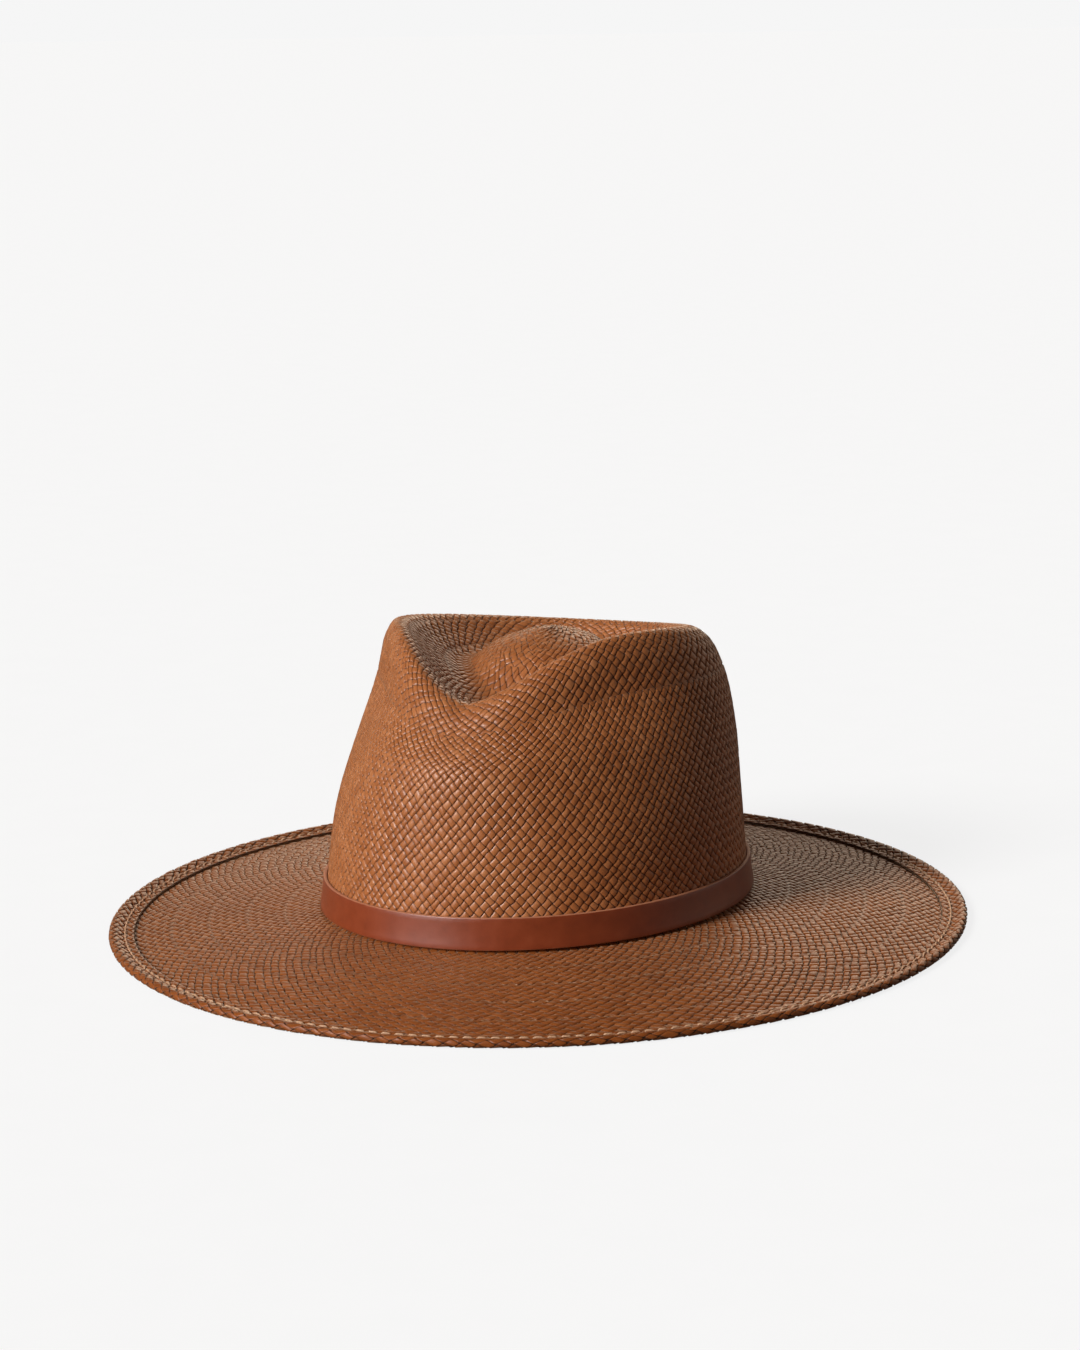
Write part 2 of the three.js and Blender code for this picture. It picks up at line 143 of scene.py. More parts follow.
def sampleSheet(sheet, turns, lengths):
    # places and normals at turns (0 to 1, from the back) and at lengths along the sheet
    rows, columns = sheet["places"].shape[:2]
    row = np.interp(lengths, sheet["length"], np.arange(rows))
    low = np.minimum(row.astype(int), rows - 2)
    rowShare = (row - low)[..., None]
    column = (turns % 1.0) * columns
    left = np.floor(column).astype(int)
    columnShare = (column - left)[..., None]
    left, right = left % columns, (left + 1) % columns
    answer = []
    for field in (sheet["places"], sheet["normals"]):
        below = field[low, left] * (1 - columnShare) + field[low, right] * columnShare
        above = field[low + 1, left] * (1 - columnShare) + field[low + 1, right] * columnShare
        answer.append(below * (1 - rowShare) + above * rowShare)
    places, normals = answer
    return places, normals / np.maximum(np.linalg.norm(normals, axis=-1, keepdims=True), 1e-9)


crownPlaces = smoothThrough([ringPlaces(ring, sheetAngles) for ring in crownRings], rowsPerRing)
crownSheet = makeSheet(crownPlaces)
crownSheet["normals"][0, :, 2] = 0
crownSheet["normals"][-1] = (0, 0, 1)
insidePlaces = crownPlaces - crownSheet["normals"] * hat["strawThickness"]
crownInside = makeSheet(insidePlaces[::-1])
crownInside["normals"][0] = (0, 0, -1)
print("crown surface worked out")


def pickOnly(piece):
    bpy.ops.object.select_all(action="DESELECT")
    piece.select_set(True)
    bpy.context.view_layer.objects.active = piece


def modify(piece, kind, **settings):
    pickOnly(piece)
    bpy.ops.object.modifier_add(type=kind)
    modifier = piece.modifiers[-1]
    for name, value in settings.items():
        setattr(modifier, name, value)
    bpy.ops.object.modifier_apply(modifier=modifier.name)


# The straws cross at 45 degrees to the rim. A vertex has two counts, one for each way of straws. Three
# to a straw give it a flat back that dips at its ends and drops at its sides, two give it a low hump.
weave = {
    "endInset": 0.25,      # of a straw's width, where a straw begins to dip under the next
    "sideInset": 0.05,
    "crest": 0.00012,
    "groove": 0.00044,
    "pit": 0.00070,        # at the corners, where four straws meet
    "uneven": 0.00006,     # from one crossing to the next
    "lineSway": 0.15,      # of a straw's width, how unequal the straws are
    "cornerSway": 0.07,
    "ringGap": 0.0003,     # the furrow where straws are added
    "furrow": 0.0003,
    "joinStep": 0.15,      # how far up the straw map a band between two strips reaches
}
chance = np.random.default_rng(58)


def newSkin():
    return {"places": [], "count": 0, "faces": [], "corners": []}


def addPlaces(skin, places):
    first = skin["count"]
    skin["places"].append(places)
    skin["count"] += len(places)
    return np.arange(first, first + len(places))


def addFaces(skin, faces, corners):
    # corners holds the straw map's two counts for each corner of each face
    skin["faces"].extend(np.asarray(faces).tolist())
    skin["corners"].append(np.asarray(corners, dtype=float).reshape(-1, 2))


def strawShares(i, j, cuts):
    # which crossing a vertex belongs to, and where in it
    lineP, a = np.divmod(i, cuts)
    lineQ, b = np.divmod(j, cuts)
    if cuts < 3:
        return lineP, lineQ, a, b, a / cuts, b / cuts
    runsAlongP = (lineP + lineQ) % 2 == 0
    middle = (weave["endInset"] + weave["sideInset"]) / 2
    insetP = np.where(b == 0, middle, np.where(runsAlongP, weave["endInset"], weave["sideInset"]))
    insetQ = np.where(a == 0, middle, np.where(runsAlongP, weave["sideInset"], weave["endInset"]))
    shareP = np.where(a == 0, 0, np.where(a == 1, insetP, 1 - insetP))
    shareQ = np.where(b == 0, 0, np.where(b == 1, insetQ, 1 - insetQ))
    return lineP, lineQ, a, b, shareP, shareQ


def swayOf(lineP, lineQ, rows, count, draws):
    # how far a crossing's corner is pushed from its regular place, none along the strip's two rims
    level = lineP - lineQ
    inner = (level > 0) & (level < 2 * rows)
    level = np.clip(level, 0, 2 * rows)
    corner = (level, lineP % count)
    swayP = weave["lineSway"] * draws["lineP"][lineP % count] + weave["cornerSway"] * draws["cornerP"][corner]
    swayQ = weave["lineSway"] * draws["lineQ"][lineQ % count] + weave["cornerSway"] * draws["cornerQ"][corner]
    return swayP * inner, swayQ * inner


def weaveStrip(skin, sheet, start, stop, count, rowPitch, cuts, lift=0.0, depth=1.0):
    # one strip of weave between two lengths of a sheet, with the same number of straws all along it
    rows = max(1, round((stop - start) / rowPitch))
    last = 2 * cuts * rows
    perRow = count * cuts
    row = np.arange(last + 1)[:, None]
    total = 2 * np.arange(perRow)[None, :] + row % 2
    i, j = (total + row) // 2, (total - row) // 2
    lineP, lineQ, a, b, shareP, shareQ = strawShares(i, j, cuts)
    draws = {
        "lineP": chance.uniform(-1, 1, count),
        "lineQ": chance.uniform(-1, 1, count),
        "cornerP": chance.uniform(-1, 1, (2 * rows + 1, count)),
        "cornerQ": chance.uniform(-1, 1, (2 * rows + 1, count)),
        "height": chance.uniform(-1, 1, (2 * rows + 2, count)),
    }
    p, q = lineP + shareP, lineQ + shareQ
    swayP, swayQ = np.zeros(p.shape), np.zeros(p.shape)
    for stepP, stepQ in ((0, 0), (1, 0), (0, 1), (1, 1)):
        cornerP, cornerQ = swayOf(lineP + stepP, lineQ + stepQ, rows, count, draws)
        weight = np.abs(1 - stepP - shareP) * np.abs(1 - stepQ - shareQ)
        swayP += cornerP * weight
        swayQ += cornerQ * weight
    isRim = (row == 0) | (row == last)
    u = np.where(isRim, (p + q) / 2, (p + swayP + q + swayQ) / 2)
    v = np.where(isRim, row / (2 * cuts), (p + swayP - q - swayQ) / 2)
    crossing = (np.clip(lineP - lineQ, 0, 2 * rows + 1), lineP % count)
    height = weave["crest"] + weave["uneven"] * draws["height"][crossing]
    height = np.where((a == 0) | (b == 0), -weave["groove"], height)
    height = np.where((a == 0) & (b == 0), -weave["pit"], height) if cuts > 1 else np.zeros(p.shape)
    height = np.where(isRim, -weave["furrow"], height) * depth + lift
    places, normals = sampleSheet(sheet, u / count, start + (stop - start) * v / rows)
    places = places + normals * height[..., None]
    ids = addPlaces(skin, places.reshape(-1, 3)).reshape(last + 1, perRow)
    # diamonds between the rows, and half diamonds along the two rims
    column = np.arange(perRow)
    for r in range(last + 1):
        side = column + r % 2
        faces, spots = [], []
        for above, c in ((0, column), (-1, side), (0, column + 1), (1, side)):
            if 0 <= r + above <= last:
                past = count * (c >= perRow)
                faces.append(ids[r + above, c % perRow])
                spots.append(np.stack([p[r + above, c % perRow] + past, q[r + above, c % perRow] + past], axis=-1))
        addFaces(skin, np.stack(faces, axis=-1), np.stack(spots, axis=1))
    low = {"ids": ids[0], "turns": u[0] / count, "count": count, "level": 0.0}
    high = {"ids": ids[-1], "turns": u[-1] / count, "count": count, "level": float(rows)}
    return low, high


def plainLoop(skin, sheet, length, count, level=0.0):
    turns = np.arange(count) / count
    places, _ = sampleSheet(sheet, turns, np.full(count, length))
    return {"ids": addPlaces(skin, places), "turns": turns, "count": count, "level": level}


def joinLoops(skin, below, above, isPaintedShade=False):
    # closes the band between two loops, whatever their numbers of vertices. The straw map's origin is a gap
    # between straws, so a band that is all there takes the gap's painted shade and is as dark as one.
    faces, spots = [], []
    sizes = len(below["ids"]), len(above["ids"])
    turnsBelow = np.append(below["turns"], below["turns"][0] + 1)
    turnsAbove = np.append(above["turns"], above["turns"][0] + 1)

    def spot(turn, isAbove):
        u, v = turn * below["count"], below["level"] + weave["joinStep"] * isAbove
        return (u + v, u - v)

    a = b = 0
    while a < sizes[0] or b < sizes[1]:
        here, there = below["ids"][a % sizes[0]], above["ids"][b % sizes[1]]
        corner = [spot(turnsBelow[a], 0), spot(turnsAbove[b], 1)]
        if b == sizes[1] or (a < sizes[0] and turnsBelow[a + 1] <= turnsAbove[b + 1]):
            a += 1
            faces.append((here, below["ids"][a % sizes[0]], there))
            spots.append([corner[0], spot(turnsBelow[a], 0), corner[1]])
        else:
            b += 1
            faces.append((here, above["ids"][b % sizes[1]], there))
            spots.append([corner[0], spot(turnsAbove[b], 1), corner[1]])
    addFaces(skin, faces, np.zeros((len(faces), 3, 2)) if isPaintedShade else spots)


def addLoops(skin, before, sheet, lengths, count, isPaintedShade=False):
    # plain loops, each joined to the one before
    for length in lengths:
        loop = plainLoop(skin, sheet, length, count)
        joinLoops(skin, before, loop, isPaintedShade)
        before = loop
    return before


def addStrip(skin, before, *strip, isPaintedShade=False):
    low, high = weaveStrip(skin, *strip)
    joinLoops(skin, before, low, isPaintedShade)
    return high


def closePole(skin, loop, sheet, isEnd):
    # a fan from a loop to the middle of the crown
    places, _ = sampleSheet(sheet, np.zeros(1), np.array([sheet["length"][-1] if isEnd else 0.0]))
    pole = addPlaces(skin, places)[0]
    size = len(loop["ids"])
    turns = np.append(loop["turns"], loop["turns"][0] + 1) * loop["count"]
    level = loop["level"]
    faces, spots = [], []
    for k in range(size):
        here, there = loop["ids"][k], loop["ids"][(k + 1) % size]
        rim = [(turns[k] + level, turns[k] - level), (turns[k + 1] + level, turns[k + 1] - level)]
        tip = (turns[k] + level + 1, turns[k] - level)
        faces.append((here, there, pole) if isEnd else (there, here, pole))
        spots.append([*rim, tip] if isEnd else [rim[1], rim[0], tip])
    addFaces(skin, faces, spots)


def finishSkin(skin, name):
    mesh = bpy.data.meshes.new(name)
    mesh.from_pydata(np.concatenate(skin["places"]).tolist(), [], skin["faces"])
    strawMap = mesh.uv_layers.new(name="strawMap")
    strawMap.data.foreach_set("uv", np.concatenate(skin["corners"]).ravel())
    mesh.polygons.foreach_set("use_smooth", np.ones(len(mesh.polygons), dtype=bool))
    mesh.update()
    piece = bpy.data.objects.new(name, mesh)
    bpy.context.scene.collection.objects.link(piece)
    # flat backs of straws count for more than the furrows beside them
    modify(piece, "WEIGHTED_NORMAL", weight=70)
    return piece


def lengthAtAround(sheet, around, after):
    # the first length past another at which the sheet is only so far round
    later = np.nonzero((sheet["length"] > after) & (sheet["around"] <= around))[0]
    return float(sheet["length"][later[0]])


crownWeave = {
    "hidden": 0.010,       # behind the hatband, left plain
    "count": 132,          # straws each way at the headline
    "rowPitch": 0.0044,
    "tightest": 0.00375,   # between holes, where straws are dropped
    "loosest": 0.0049,     # and how wide they lie after that
    "eye": 0.022,          # round the middle, where the weaving starts
    "smallest": 6,         # straws round the eye
    "footCount": 240,      # vertices of the plain loops
    "insideCount": 180,
    "plainRows": (0.004, 0.008),
    "insideHidden": 0.030, # behind the sweatband
    "insideRows": (0.020, 0.010, 0.0),
}


def crownPlan(sheet):
    # [start, stop, count] of each strip, from the hatband up and into the middle
    plan = []
    start, count = crownWeave["hidden"], crownWeave["count"]
    while True:
        tight = max(count * crownWeave["tightest"], crownWeave["eye"])
        stop = lengthAtAround(sheet, tight, start)
        plan.append((start, stop, count))
        if tight <= crownWeave["eye"] * 1.2:
            return plan
        count = max(crownWeave["smallest"], round(tight / crownWeave["loosest"]))
        start = stop + weave["ringGap"]


def weaveCrown():
    skin = newSkin()
    plan = crownPlan(crownSheet)
    foot = plainLoop(skin, crownSheet, 0.0, crownWeave["footCount"])
    before = addLoops(skin, foot, crownSheet, crownWeave["plainRows"], crownWeave["footCount"])
    for start, stop, count in plan:
        before = addStrip(skin, before, crownSheet, start, stop, count, crownWeave["rowPitch"], 3)
    closePole(skin, before, crownSheet, True)
    whole = crownInside["length"][-1]
    scale = whole / crownSheet["length"][-1]
    before = None
    for start, stop, count in reversed(plan):
        start = max(start, crownWeave["insideHidden"])
        low, high = weaveStrip(skin, crownInside, whole - stop * scale, whole - start * scale, count,
                               crownWeave["rowPitch"], 1)
        if before is None:
            closePole(skin, low, crownInside, False)
        else:
            joinLoops(skin, before, low)
        before = high
    lengths = [whole - length for length in crownWeave["insideRows"]]
    before = addLoops(skin, before, crownInside, lengths, crownWeave["insideCount"])
    joinLoops(skin, before, foot)
    return finishSkin(skin, "woven_crown")


crown = weaveCrown()
print("crown woven,", len(crown.data.polygons), "faces")


brimShape = {
    "breakRadius": 0.0015,
    "bulge": 0.3,
    "ease": 0.03,          # how softly the slope runs out into the level hem
    "hemFlat": 0.013,
    "hemTurn": 0.011,
    "hemSeam": 0.007,
    "seamDip": 0.00035,    # how far the stitching draws the straw in
    "seamReach": 0.0012,
    "wireDiameter": 0.0009,
    "wirePlay": 0.00025,
    "hemGap": 0.0003,
    "hemTaper": 0.0045,
    "step": 0.0004,        # between rows of the fine sheets
    "bendSteps": (9, 12),  # round the bend at the headline, above and below
    "foldSteps": (17, 11), # round the fold at the edge, outside and inside
}
slopeLength = hat["brimHalfWidth"] - hat["headHalfWidth"] - brimShape["hemFlat"]
foldInner = brimShape["wireDiameter"] / 2 + brimShape["wirePlay"]
foldOuter = foldInner + hat["strawThickness"]
flapUnder = hat["strawThickness"] + brimShape["hemGap"]
flapTop = flapUnder + hat["strawThickness"]


def ovalPlaces(halfWidth, halfLength, angles, out):
    turn = np.radians(angles)
    normal = np.stack([np.sin(turn) / halfWidth, -np.cos(turn) / halfLength], axis=-1)
    normal /= np.linalg.norm(normal, axis=-1, keepdims=True)
    plan = np.stack([halfWidth * np.sin(turn), -halfLength * np.cos(turn)], axis=-1)
    return plan + normal * np.asarray(out)[..., None]


def headOval(out, angles=sheetAngles):
    return ovalPlaces(hat["headHalfWidth"], hat["headHalfLength"], angles, np.full(len(angles), out))


def edgeOval(inward, angles=sheetAngles):
    return ovalPlaces(hat["brimHalfWidth"], hat["brimHalfLength"], angles, np.full(len(angles), -inward))


def atHeight(plan, height):
    return np.concatenate([plan, np.broadcast_to(height, (len(plan),))[:, None]], axis=-1)


headline = crownPlaces[0, :, 2]
bend = headline - hat["clearance"] - brimShape["breakRadius"]


def seamDip(inward):
    return brimShape["seamDip"] * math.exp(-(((inward - brimShape["hemSeam"]) / brimShape["seamReach"]) ** 2))


def slopeRow(share, isTop):
    # share 0 beside the bend, 1 where the hem begins
    plan = headOval(brimShape["breakRadius"]) * (1 - share) + edgeOval(brimShape["hemFlat"]) * share
    arched = (1 - share) * (1 + brimShape["bulge"] * share)
    eased = (arched + math.hypot(arched, brimShape["ease"])) / 2
    fall = (bend - hat["strawThickness"]) * eased
    return atHeight(plan, fall + (hat["strawThickness"] if isTop else 0))


def levelRow(inward, isTop):
    share = 1 + (brimShape["hemFlat"] - inward) / slopeLength
    height = slopeRow(share, isTop)[:, 2]
    return atHeight(edgeOval(inward), height if isTop else height + seamDip(inward))


def bendRow(radius, turn):
    out = brimShape["breakRadius"] - radius * math.cos(turn)
    return atHeight(headOval(out), headline - hat["clearance"] - radius * math.sin(turn))


def foldRow(radius, turn):
    inward = foldOuter - radius * math.cos(turn)
    return atHeight(edgeOval(inward), foldOuter + radius * math.sin(turn))


def flapRow(inward, isTop):
    # the turned edge, from over the wire down to where it lies flat
    share = min(1.0, max(0.0, (inward - foldOuter) / brimShape["hemTaper"]))
    drop = (1 - math.cos(share * math.pi)) / 2
    high = foldOuter + (foldOuter if isTop else foldInner)
    low = flapTop if isTop else flapUnder
    height = high + (low - high) * drop - seamDip(inward)
    return atHeight(edgeOval(inward), height)


def spread(start, stop, step):
    return np.linspace(start, stop, max(2, round(abs(stop - start) / step) + 1))


def brimTopRows():
    # from the fold's inside in to the headline
    steps = brimShape["bendSteps"][0]
    rows = [levelRow(inward, True) for inward in spread(foldOuter, brimShape["hemFlat"], brimShape["step"])]
    rows += [slopeRow(share, True) for share in spread(1, 0, brimShape["step"] / slopeLength)[1:]]
    rows += [bendRow(brimShape["breakRadius"], turn) for turn in np.linspace(math.pi / 2, 0, steps)[1:]]
    return np.array(rows)


def brimUnderRows():
    # from the headline out along the underside, round the fold and back over the top to the wire
    radius = brimShape["breakRadius"] + hat["strawThickness"]
    outer, inner = brimShape["foldSteps"]
    rows = [bendRow(radius, turn) for turn in np.linspace(0, math.pi / 2, brimShape["bendSteps"][1])]
    rows += [slopeRow(share, False) for share in spread(0, 1, brimShape["step"] / slopeLength)[1:]]
    inwards = spread(brimShape["hemFlat"], foldOuter, brimShape["step"])[1:-1]
    rows += [levelRow(inward, False) for inward in inwards]
    underEnd = len(rows)
    rows += [foldRow(foldOuter, turn) for turn in np.linspace(-math.pi / 2, math.pi / 2, outer)]
    rows += [flapRow(inward, True) for inward in spread(foldOuter, brimShape["hemTurn"], brimShape["step"])[1:]]
    flapEnd = len(rows) - 1
    rows += [flapRow(inward, False) for inward in spread(brimShape["hemTurn"], foldOuter, brimShape["step"])]
    rows += [foldRow(foldInner, turn) for turn in np.linspace(math.pi / 2, -math.pi / 2, inner)[1:]]
    return np.array(rows), underEnd, flapEnd


brimTop = makeSheet(brimTopRows())
underRows, underEnd, flapEnd = brimUnderRows()
brimUnder = makeSheet(underRows)

brimWeave = {
    "counts": [166, 160, 153, 146, 139],  # straws each way, from the hem in to the headline
    "rowPitch": 0.0040,
    "hidden": 0.0022,      # the bend beside the hatband, left plain
    "underDepth": 0.35,
    "hemCount": 240,       # vertices of the plain loops inside the hem, and at the bend
    "bendCount": 300,
    "tucked": 0.0010,      # how far the upper face's plain part and its weave run in under the hem
    "woven": 0.0004,
    "bendRows": (0.0012, 0.0006, 0.0),
    "underRows": (0.0, 0.0012, 0.0024, 0.0036),
    "underFrom": 0.0042,
    "underTo": 0.0010,     # short of the fold
    "flapTo": 0.0002,      # short of the flap's end
}


def weaveBrim():
    skin = newSkin()
    counts, pitch, gap = brimWeave["counts"], brimWeave["rowPitch"], weave["ringGap"]
    hemCount, bendCount = brimWeave["hemCount"], brimWeave["bendCount"]
    flap, whole = brimShape["hemTurn"] - foldOuter, brimTop["length"][-1]
    first = plainLoop(skin, brimTop, 0.0, hemCount)
    before = addLoops(skin, first, brimTop, [flap - brimWeave["tucked"]], hemCount)
    edges = np.linspace(flap - brimWeave["woven"], whole - brimWeave["hidden"], len(counts) + 1)
    for k, count in enumerate(counts):
        # painted shade: the band just under the hem's edge is dark
        before = addStrip(skin, before, brimTop, edges[k], edges[k + 1] - gap, count, pitch, 3, isPaintedShade=k == 0)
    before = addLoops(skin, before, brimTop, [whole - length for length in brimWeave["bendRows"]], bendCount)
    before = addLoops(skin, before, brimUnder, brimWeave["underRows"], bendCount)
    # the underside's relief is shallow, and all of it lies within the straw
    sunk = -weave["crest"]
    underStop = brimUnder["length"][underEnd] - brimWeave["underTo"]
    edges = np.linspace(brimWeave["underFrom"], underStop, len(counts) + 1)
    for k, count in enumerate(reversed(counts)):
        before = addStrip(skin, before, brimUnder, edges[k], edges[k + 1] - gap, count, pitch, 2,
                          sunk - weave["uneven"], brimWeave["underDepth"])
    flapStop = brimUnder["length"][flapEnd] - brimWeave["flapTo"]
    before = addStrip(skin, before, brimUnder, edges[-1], flapStop, counts[0], pitch, 3, sunk)
    inner, whole = brimUnder["length"][flapEnd + 1], brimUnder["length"][-1]
    lengths = (inner, inner + (whole - inner) * 0.6, whole - foldInner * 3, whole - foldInner * 1.5, whole)
    # painted shade: the bands under the flap and inside the fold, round the wire, are dark
    before = addLoops(skin, before, brimUnder, lengths, hemCount, True)
    joinLoops(skin, before, first, True)
    return finishSkin(skin, "woven_brim")


brim = weaveBrim()
print("brim woven,", len(brim.data.polygons), "faces")


# Trims are modelled flat, x along, y up and z out, and are then laid along the crown's wall or the brim's edge.
guide = {
    "wallFrom": -0.002,    # heights above the headline
    "wallTo": 0.045,
    "wallRings": 4,        # of the crown's rings, from the headline up past the wall
    "edgeFrom": -0.001,    # distances in from the brim's edge
    "edgeTo": 0.020,
    "step": 0.001,
}


def makeWall():
    # the crown's wall by height above the headline, with level normals
    heights = np.arange(guide["wallFrom"], guide["wallTo"], guide["step"])
    places = np.empty((len(heights), len(sheetAngles), 3))
    normals = np.zeros(places.shape)
    lowRows = rowsPerRing * guide["wallRings"]
    for k in range(len(sheetAngles)):
        rise = crownPlaces[:lowRows, k, 2] - headline[k]
        for axis in (0, 1):
            places[:, k, axis] = np.interp(heights, rise, crownPlaces[:lowRows, k, axis])
            normals[:, k, axis] = np.interp(heights, rise, crownSheet["normals"][:lowRows, k, axis])
    places[:, :, 2] = headline + heights[:, None]
    normals /= np.linalg.norm(normals, axis=-1, keepdims=True)
    return {"places": places, "normals": normals, "length": heights}


def makeEdge():
    # the brim's edge by distance in from it, upright
    inwards = np.arange(guide["edgeFrom"], guide["edgeTo"], guide["step"])
    places = np.array([atHeight(edgeOval(inward), 0.0) for inward in inwards])
    normals = np.broadcast_to([0.0, 0.0, 1.0], places.shape)
    return {"places": places, "normals": normals, "length": inwards}


def measureRound(places):
    # how far round each column lies, with the whole way round at the end
    steps = np.linalg.norm(np.roll(places, -1, axis=0) - places, axis=-1)
    return np.concatenate([[0], np.cumsum(steps)])


wall = makeWall()
wall["round"] = measureRound(crownPlaces[0])
edge = makeEdge()
edge["round"] = measureRound(atHeight(edgeOval(brimShape["hemSeam"]), 0.0))


def placesOf(piece):
    flat = np.empty(len(piece.data.vertices) * 3)
    piece.data.vertices.foreach_get("co", flat)
    return flat.reshape(-1, 3)


def setPlaces(piece, places):
    piece.data.vertices.foreach_set("co", np.ascontiguousarray(places, dtype=float).ravel())
    piece.data.update()


def mapTrim(piece, axes=(0, 1)):
    # keeps the flat places, in millimetres, for the patterns
    corners = np.empty(len(piece.data.loops), dtype=int)
    piece.data.loops.foreach_get("vertex_index", corners)
    while piece.data.uv_layers:
        piece.data.uv_layers.remove(piece.data.uv_layers[0])
    layer = piece.data.uv_layers.new(name="trimMap")
    layer.data.foreach_set("uv", (placesOf(piece)[corners][:, list(axes)] * 1000).ravel())


def layAlong(piece, path, start=0.0):
    mapTrim(piece)
    flat = placesOf(piece)
    whole = path["round"][-1]
    reach = flat[:, 0] + start
    laps = np.floor(reach / whole)
    turns = np.interp(reach - laps * whole, path["round"], np.linspace(0, 1, len(path["round"]))) + laps
    places, normals = sampleSheet(path, turns, flat[:, 1])
    setPlaces(piece, places + normals * flat[:, 2:])


def editAll():
    bpy.ops.object.mode_set(mode="EDIT")
    bpy.ops.mesh.select_all(action="SELECT")


def editOnly(piece, kind, isWanted):
    # opens the piece with only the wanted vertices, edges or faces selected
    bpy.ops.object.mode_set(mode="EDIT")
    bpy.ops.mesh.select_mode(type=kind)
    bpy.ops.mesh.select_all(action="DESELECT")
    bpy.ops.object.mode_set(mode="OBJECT")
    parts = {"VERT": piece.data.vertices, "EDGE": piece.data.edges, "FACE": piece.data.polygons}[kind]
    for part in parts:
        part.select = bool(isWanted(part))
    bpy.ops.object.mode_set(mode="EDIT")


def leaveEdit():
    bpy.ops.mesh.select_mode(type="VERT")
    bpy.ops.object.mode_set(mode="OBJECT")


def flatStrip(name, length, height, columns, rows):
    # a flat strip with its lower left corner at the origin
    bpy.ops.object.select_all(action="DESELECT")
    bpy.ops.mesh.primitive_grid_add(x_subdivisions=columns, y_subdivisions=rows, size=1)
    piece = bpy.context.object
    piece.name = piece.data.name = name
    editAll()
    bpy.ops.transform.resize(value=(length, height, 1))
    bpy.ops.transform.translate(value=(length / 2, height / 2, 0))
    leaveEdit()
    return piece


def moveRow(piece, height, shift):
    # presses in or lifts the row of vertices nearest to a height
    nearest = np.abs(placesOf(piece)[:, 1] - height).min()
    editOnly(piece, "VERT", lambda vertex: abs(abs(vertex.co.y - height) - nearest) < 1e-6)
    bpy.ops.transform.translate(value=(0, 0, shift))
    leaveEdit()


def roundCorners(piece, width, segments, angle=60):
    modify(piece, "BEVEL", width=width, segments=segments, limit_method="ANGLE", angle_limit=math.radians(angle))


def thicken(piece, thickness, rounding, segments=3):
    modify(piece, "SOLIDIFY", thickness=thickness, offset=1.0)
    roundCorners(piece, rounding, segments)


def smoothOver(piece, angle=40):
    pickOnly(piece)
    bpy.ops.object.shade_smooth_by_angle(angle=math.radians(angle))


def flatRod(name, length, diameter, sides):
    # a straight rod along x from the origin, cut into short lengths so that it can be bent
    bpy.ops.object.select_all(action="DESELECT")
    bpy.ops.mesh.primitive_cylinder_add(vertices=sides, radius=diameter / 2, depth=length,
                                        location=(length / 2, 0, 0), rotation=(0, math.pi / 2, 0))
    rod = bpy.context.object
    rod.name = rod.data.name = name
    bpy.ops.object.transform_apply(location=True, rotation=True, scale=True)

    def runsAlong(line):
        ends = [rod.data.vertices[k].co.x for k in line.vertices]
        return abs(ends[0] - ends[1]) > length / 300

    for again in range(2):
        editOnly(rod, "EDGE", runsAlong)
        bpy.ops.mesh.subdivide(number_cuts=15)
        leaveEdit()
    return rod


def closeRing(piece):
    # the ends of a ring that has come round lose their caps and are merged
    pickOnly(piece)
    editAll()
    bpy.ops.mesh.remove_doubles(threshold=1e-6)
    bpy.ops.mesh.select_all(action="DESELECT")
    bpy.ops.mesh.select_interior_faces()
    bpy.ops.mesh.delete(type="FACE")
    leaveEdit()


def stitchLine(name, length, thread, pitch, count, dip):
    # one stitch along x, fat in the middle and diving at both ends, and then a row of them
    bpy.ops.object.select_all(action="DESELECT")
    bpy.ops.mesh.primitive_cylinder_add(vertices=8, radius=thread / 2, depth=length * 0.56,
                                        location=(0, 0, 0), rotation=(0, math.pi / 2, 0))
    stitch = bpy.context.object
    stitch.name = stitch.data.name = name
    bpy.ops.object.transform_apply(location=True, rotation=True, scale=True)
    for side in (-1, 1):
        editOnly(stitch, "FACE", lambda face: face.normal.x * side > 0.9)
        bpy.ops.mesh.extrude_region_move(TRANSFORM_OT_translate={"value": (side * length * 0.22, 0, -dip)})
        bpy.ops.transform.resize(value=(1, 0.55, 0.55))
        leaveEdit()
    modify(stitch, "ARRAY", count=count, use_relative_offset=False, use_constant_offset=True,
           constant_offset_displace=(pitch, 0, 0))
    return stitch


def shiftFlat(piece, x, y, z):
    setPlaces(piece, placesOf(piece) + np.array([x, y, z]))


# The leather hatband, with its ends lapped and sewn at the back
hatbandShape = {
    "height": 0.013,
    "thickness": 0.0016,
    "lift": -0.0006,
    "rounding": 0.00045,
    "flare": 0.0008,
    "lapTurn": 7.5,        # degrees that each end runs past the back
    "rampTurn": 6.5,       # over which the outer end climbs onto the inner one
    "stitchTurn": 3.75,    # degrees past the back
    "stitchCount": 3,
    "stitchPitch": 0.0030,
    "stitchLength": 0.0024,
    "stitchDip": 0.0004,
    "stitchLift": 0.0002,
    "thread": 0.0006,
    "columns": 420,
    "rows": 6,
}
lapLift = hatbandShape["thickness"] + hat["clearance"]
backLength = wall["round"][-1] / 360


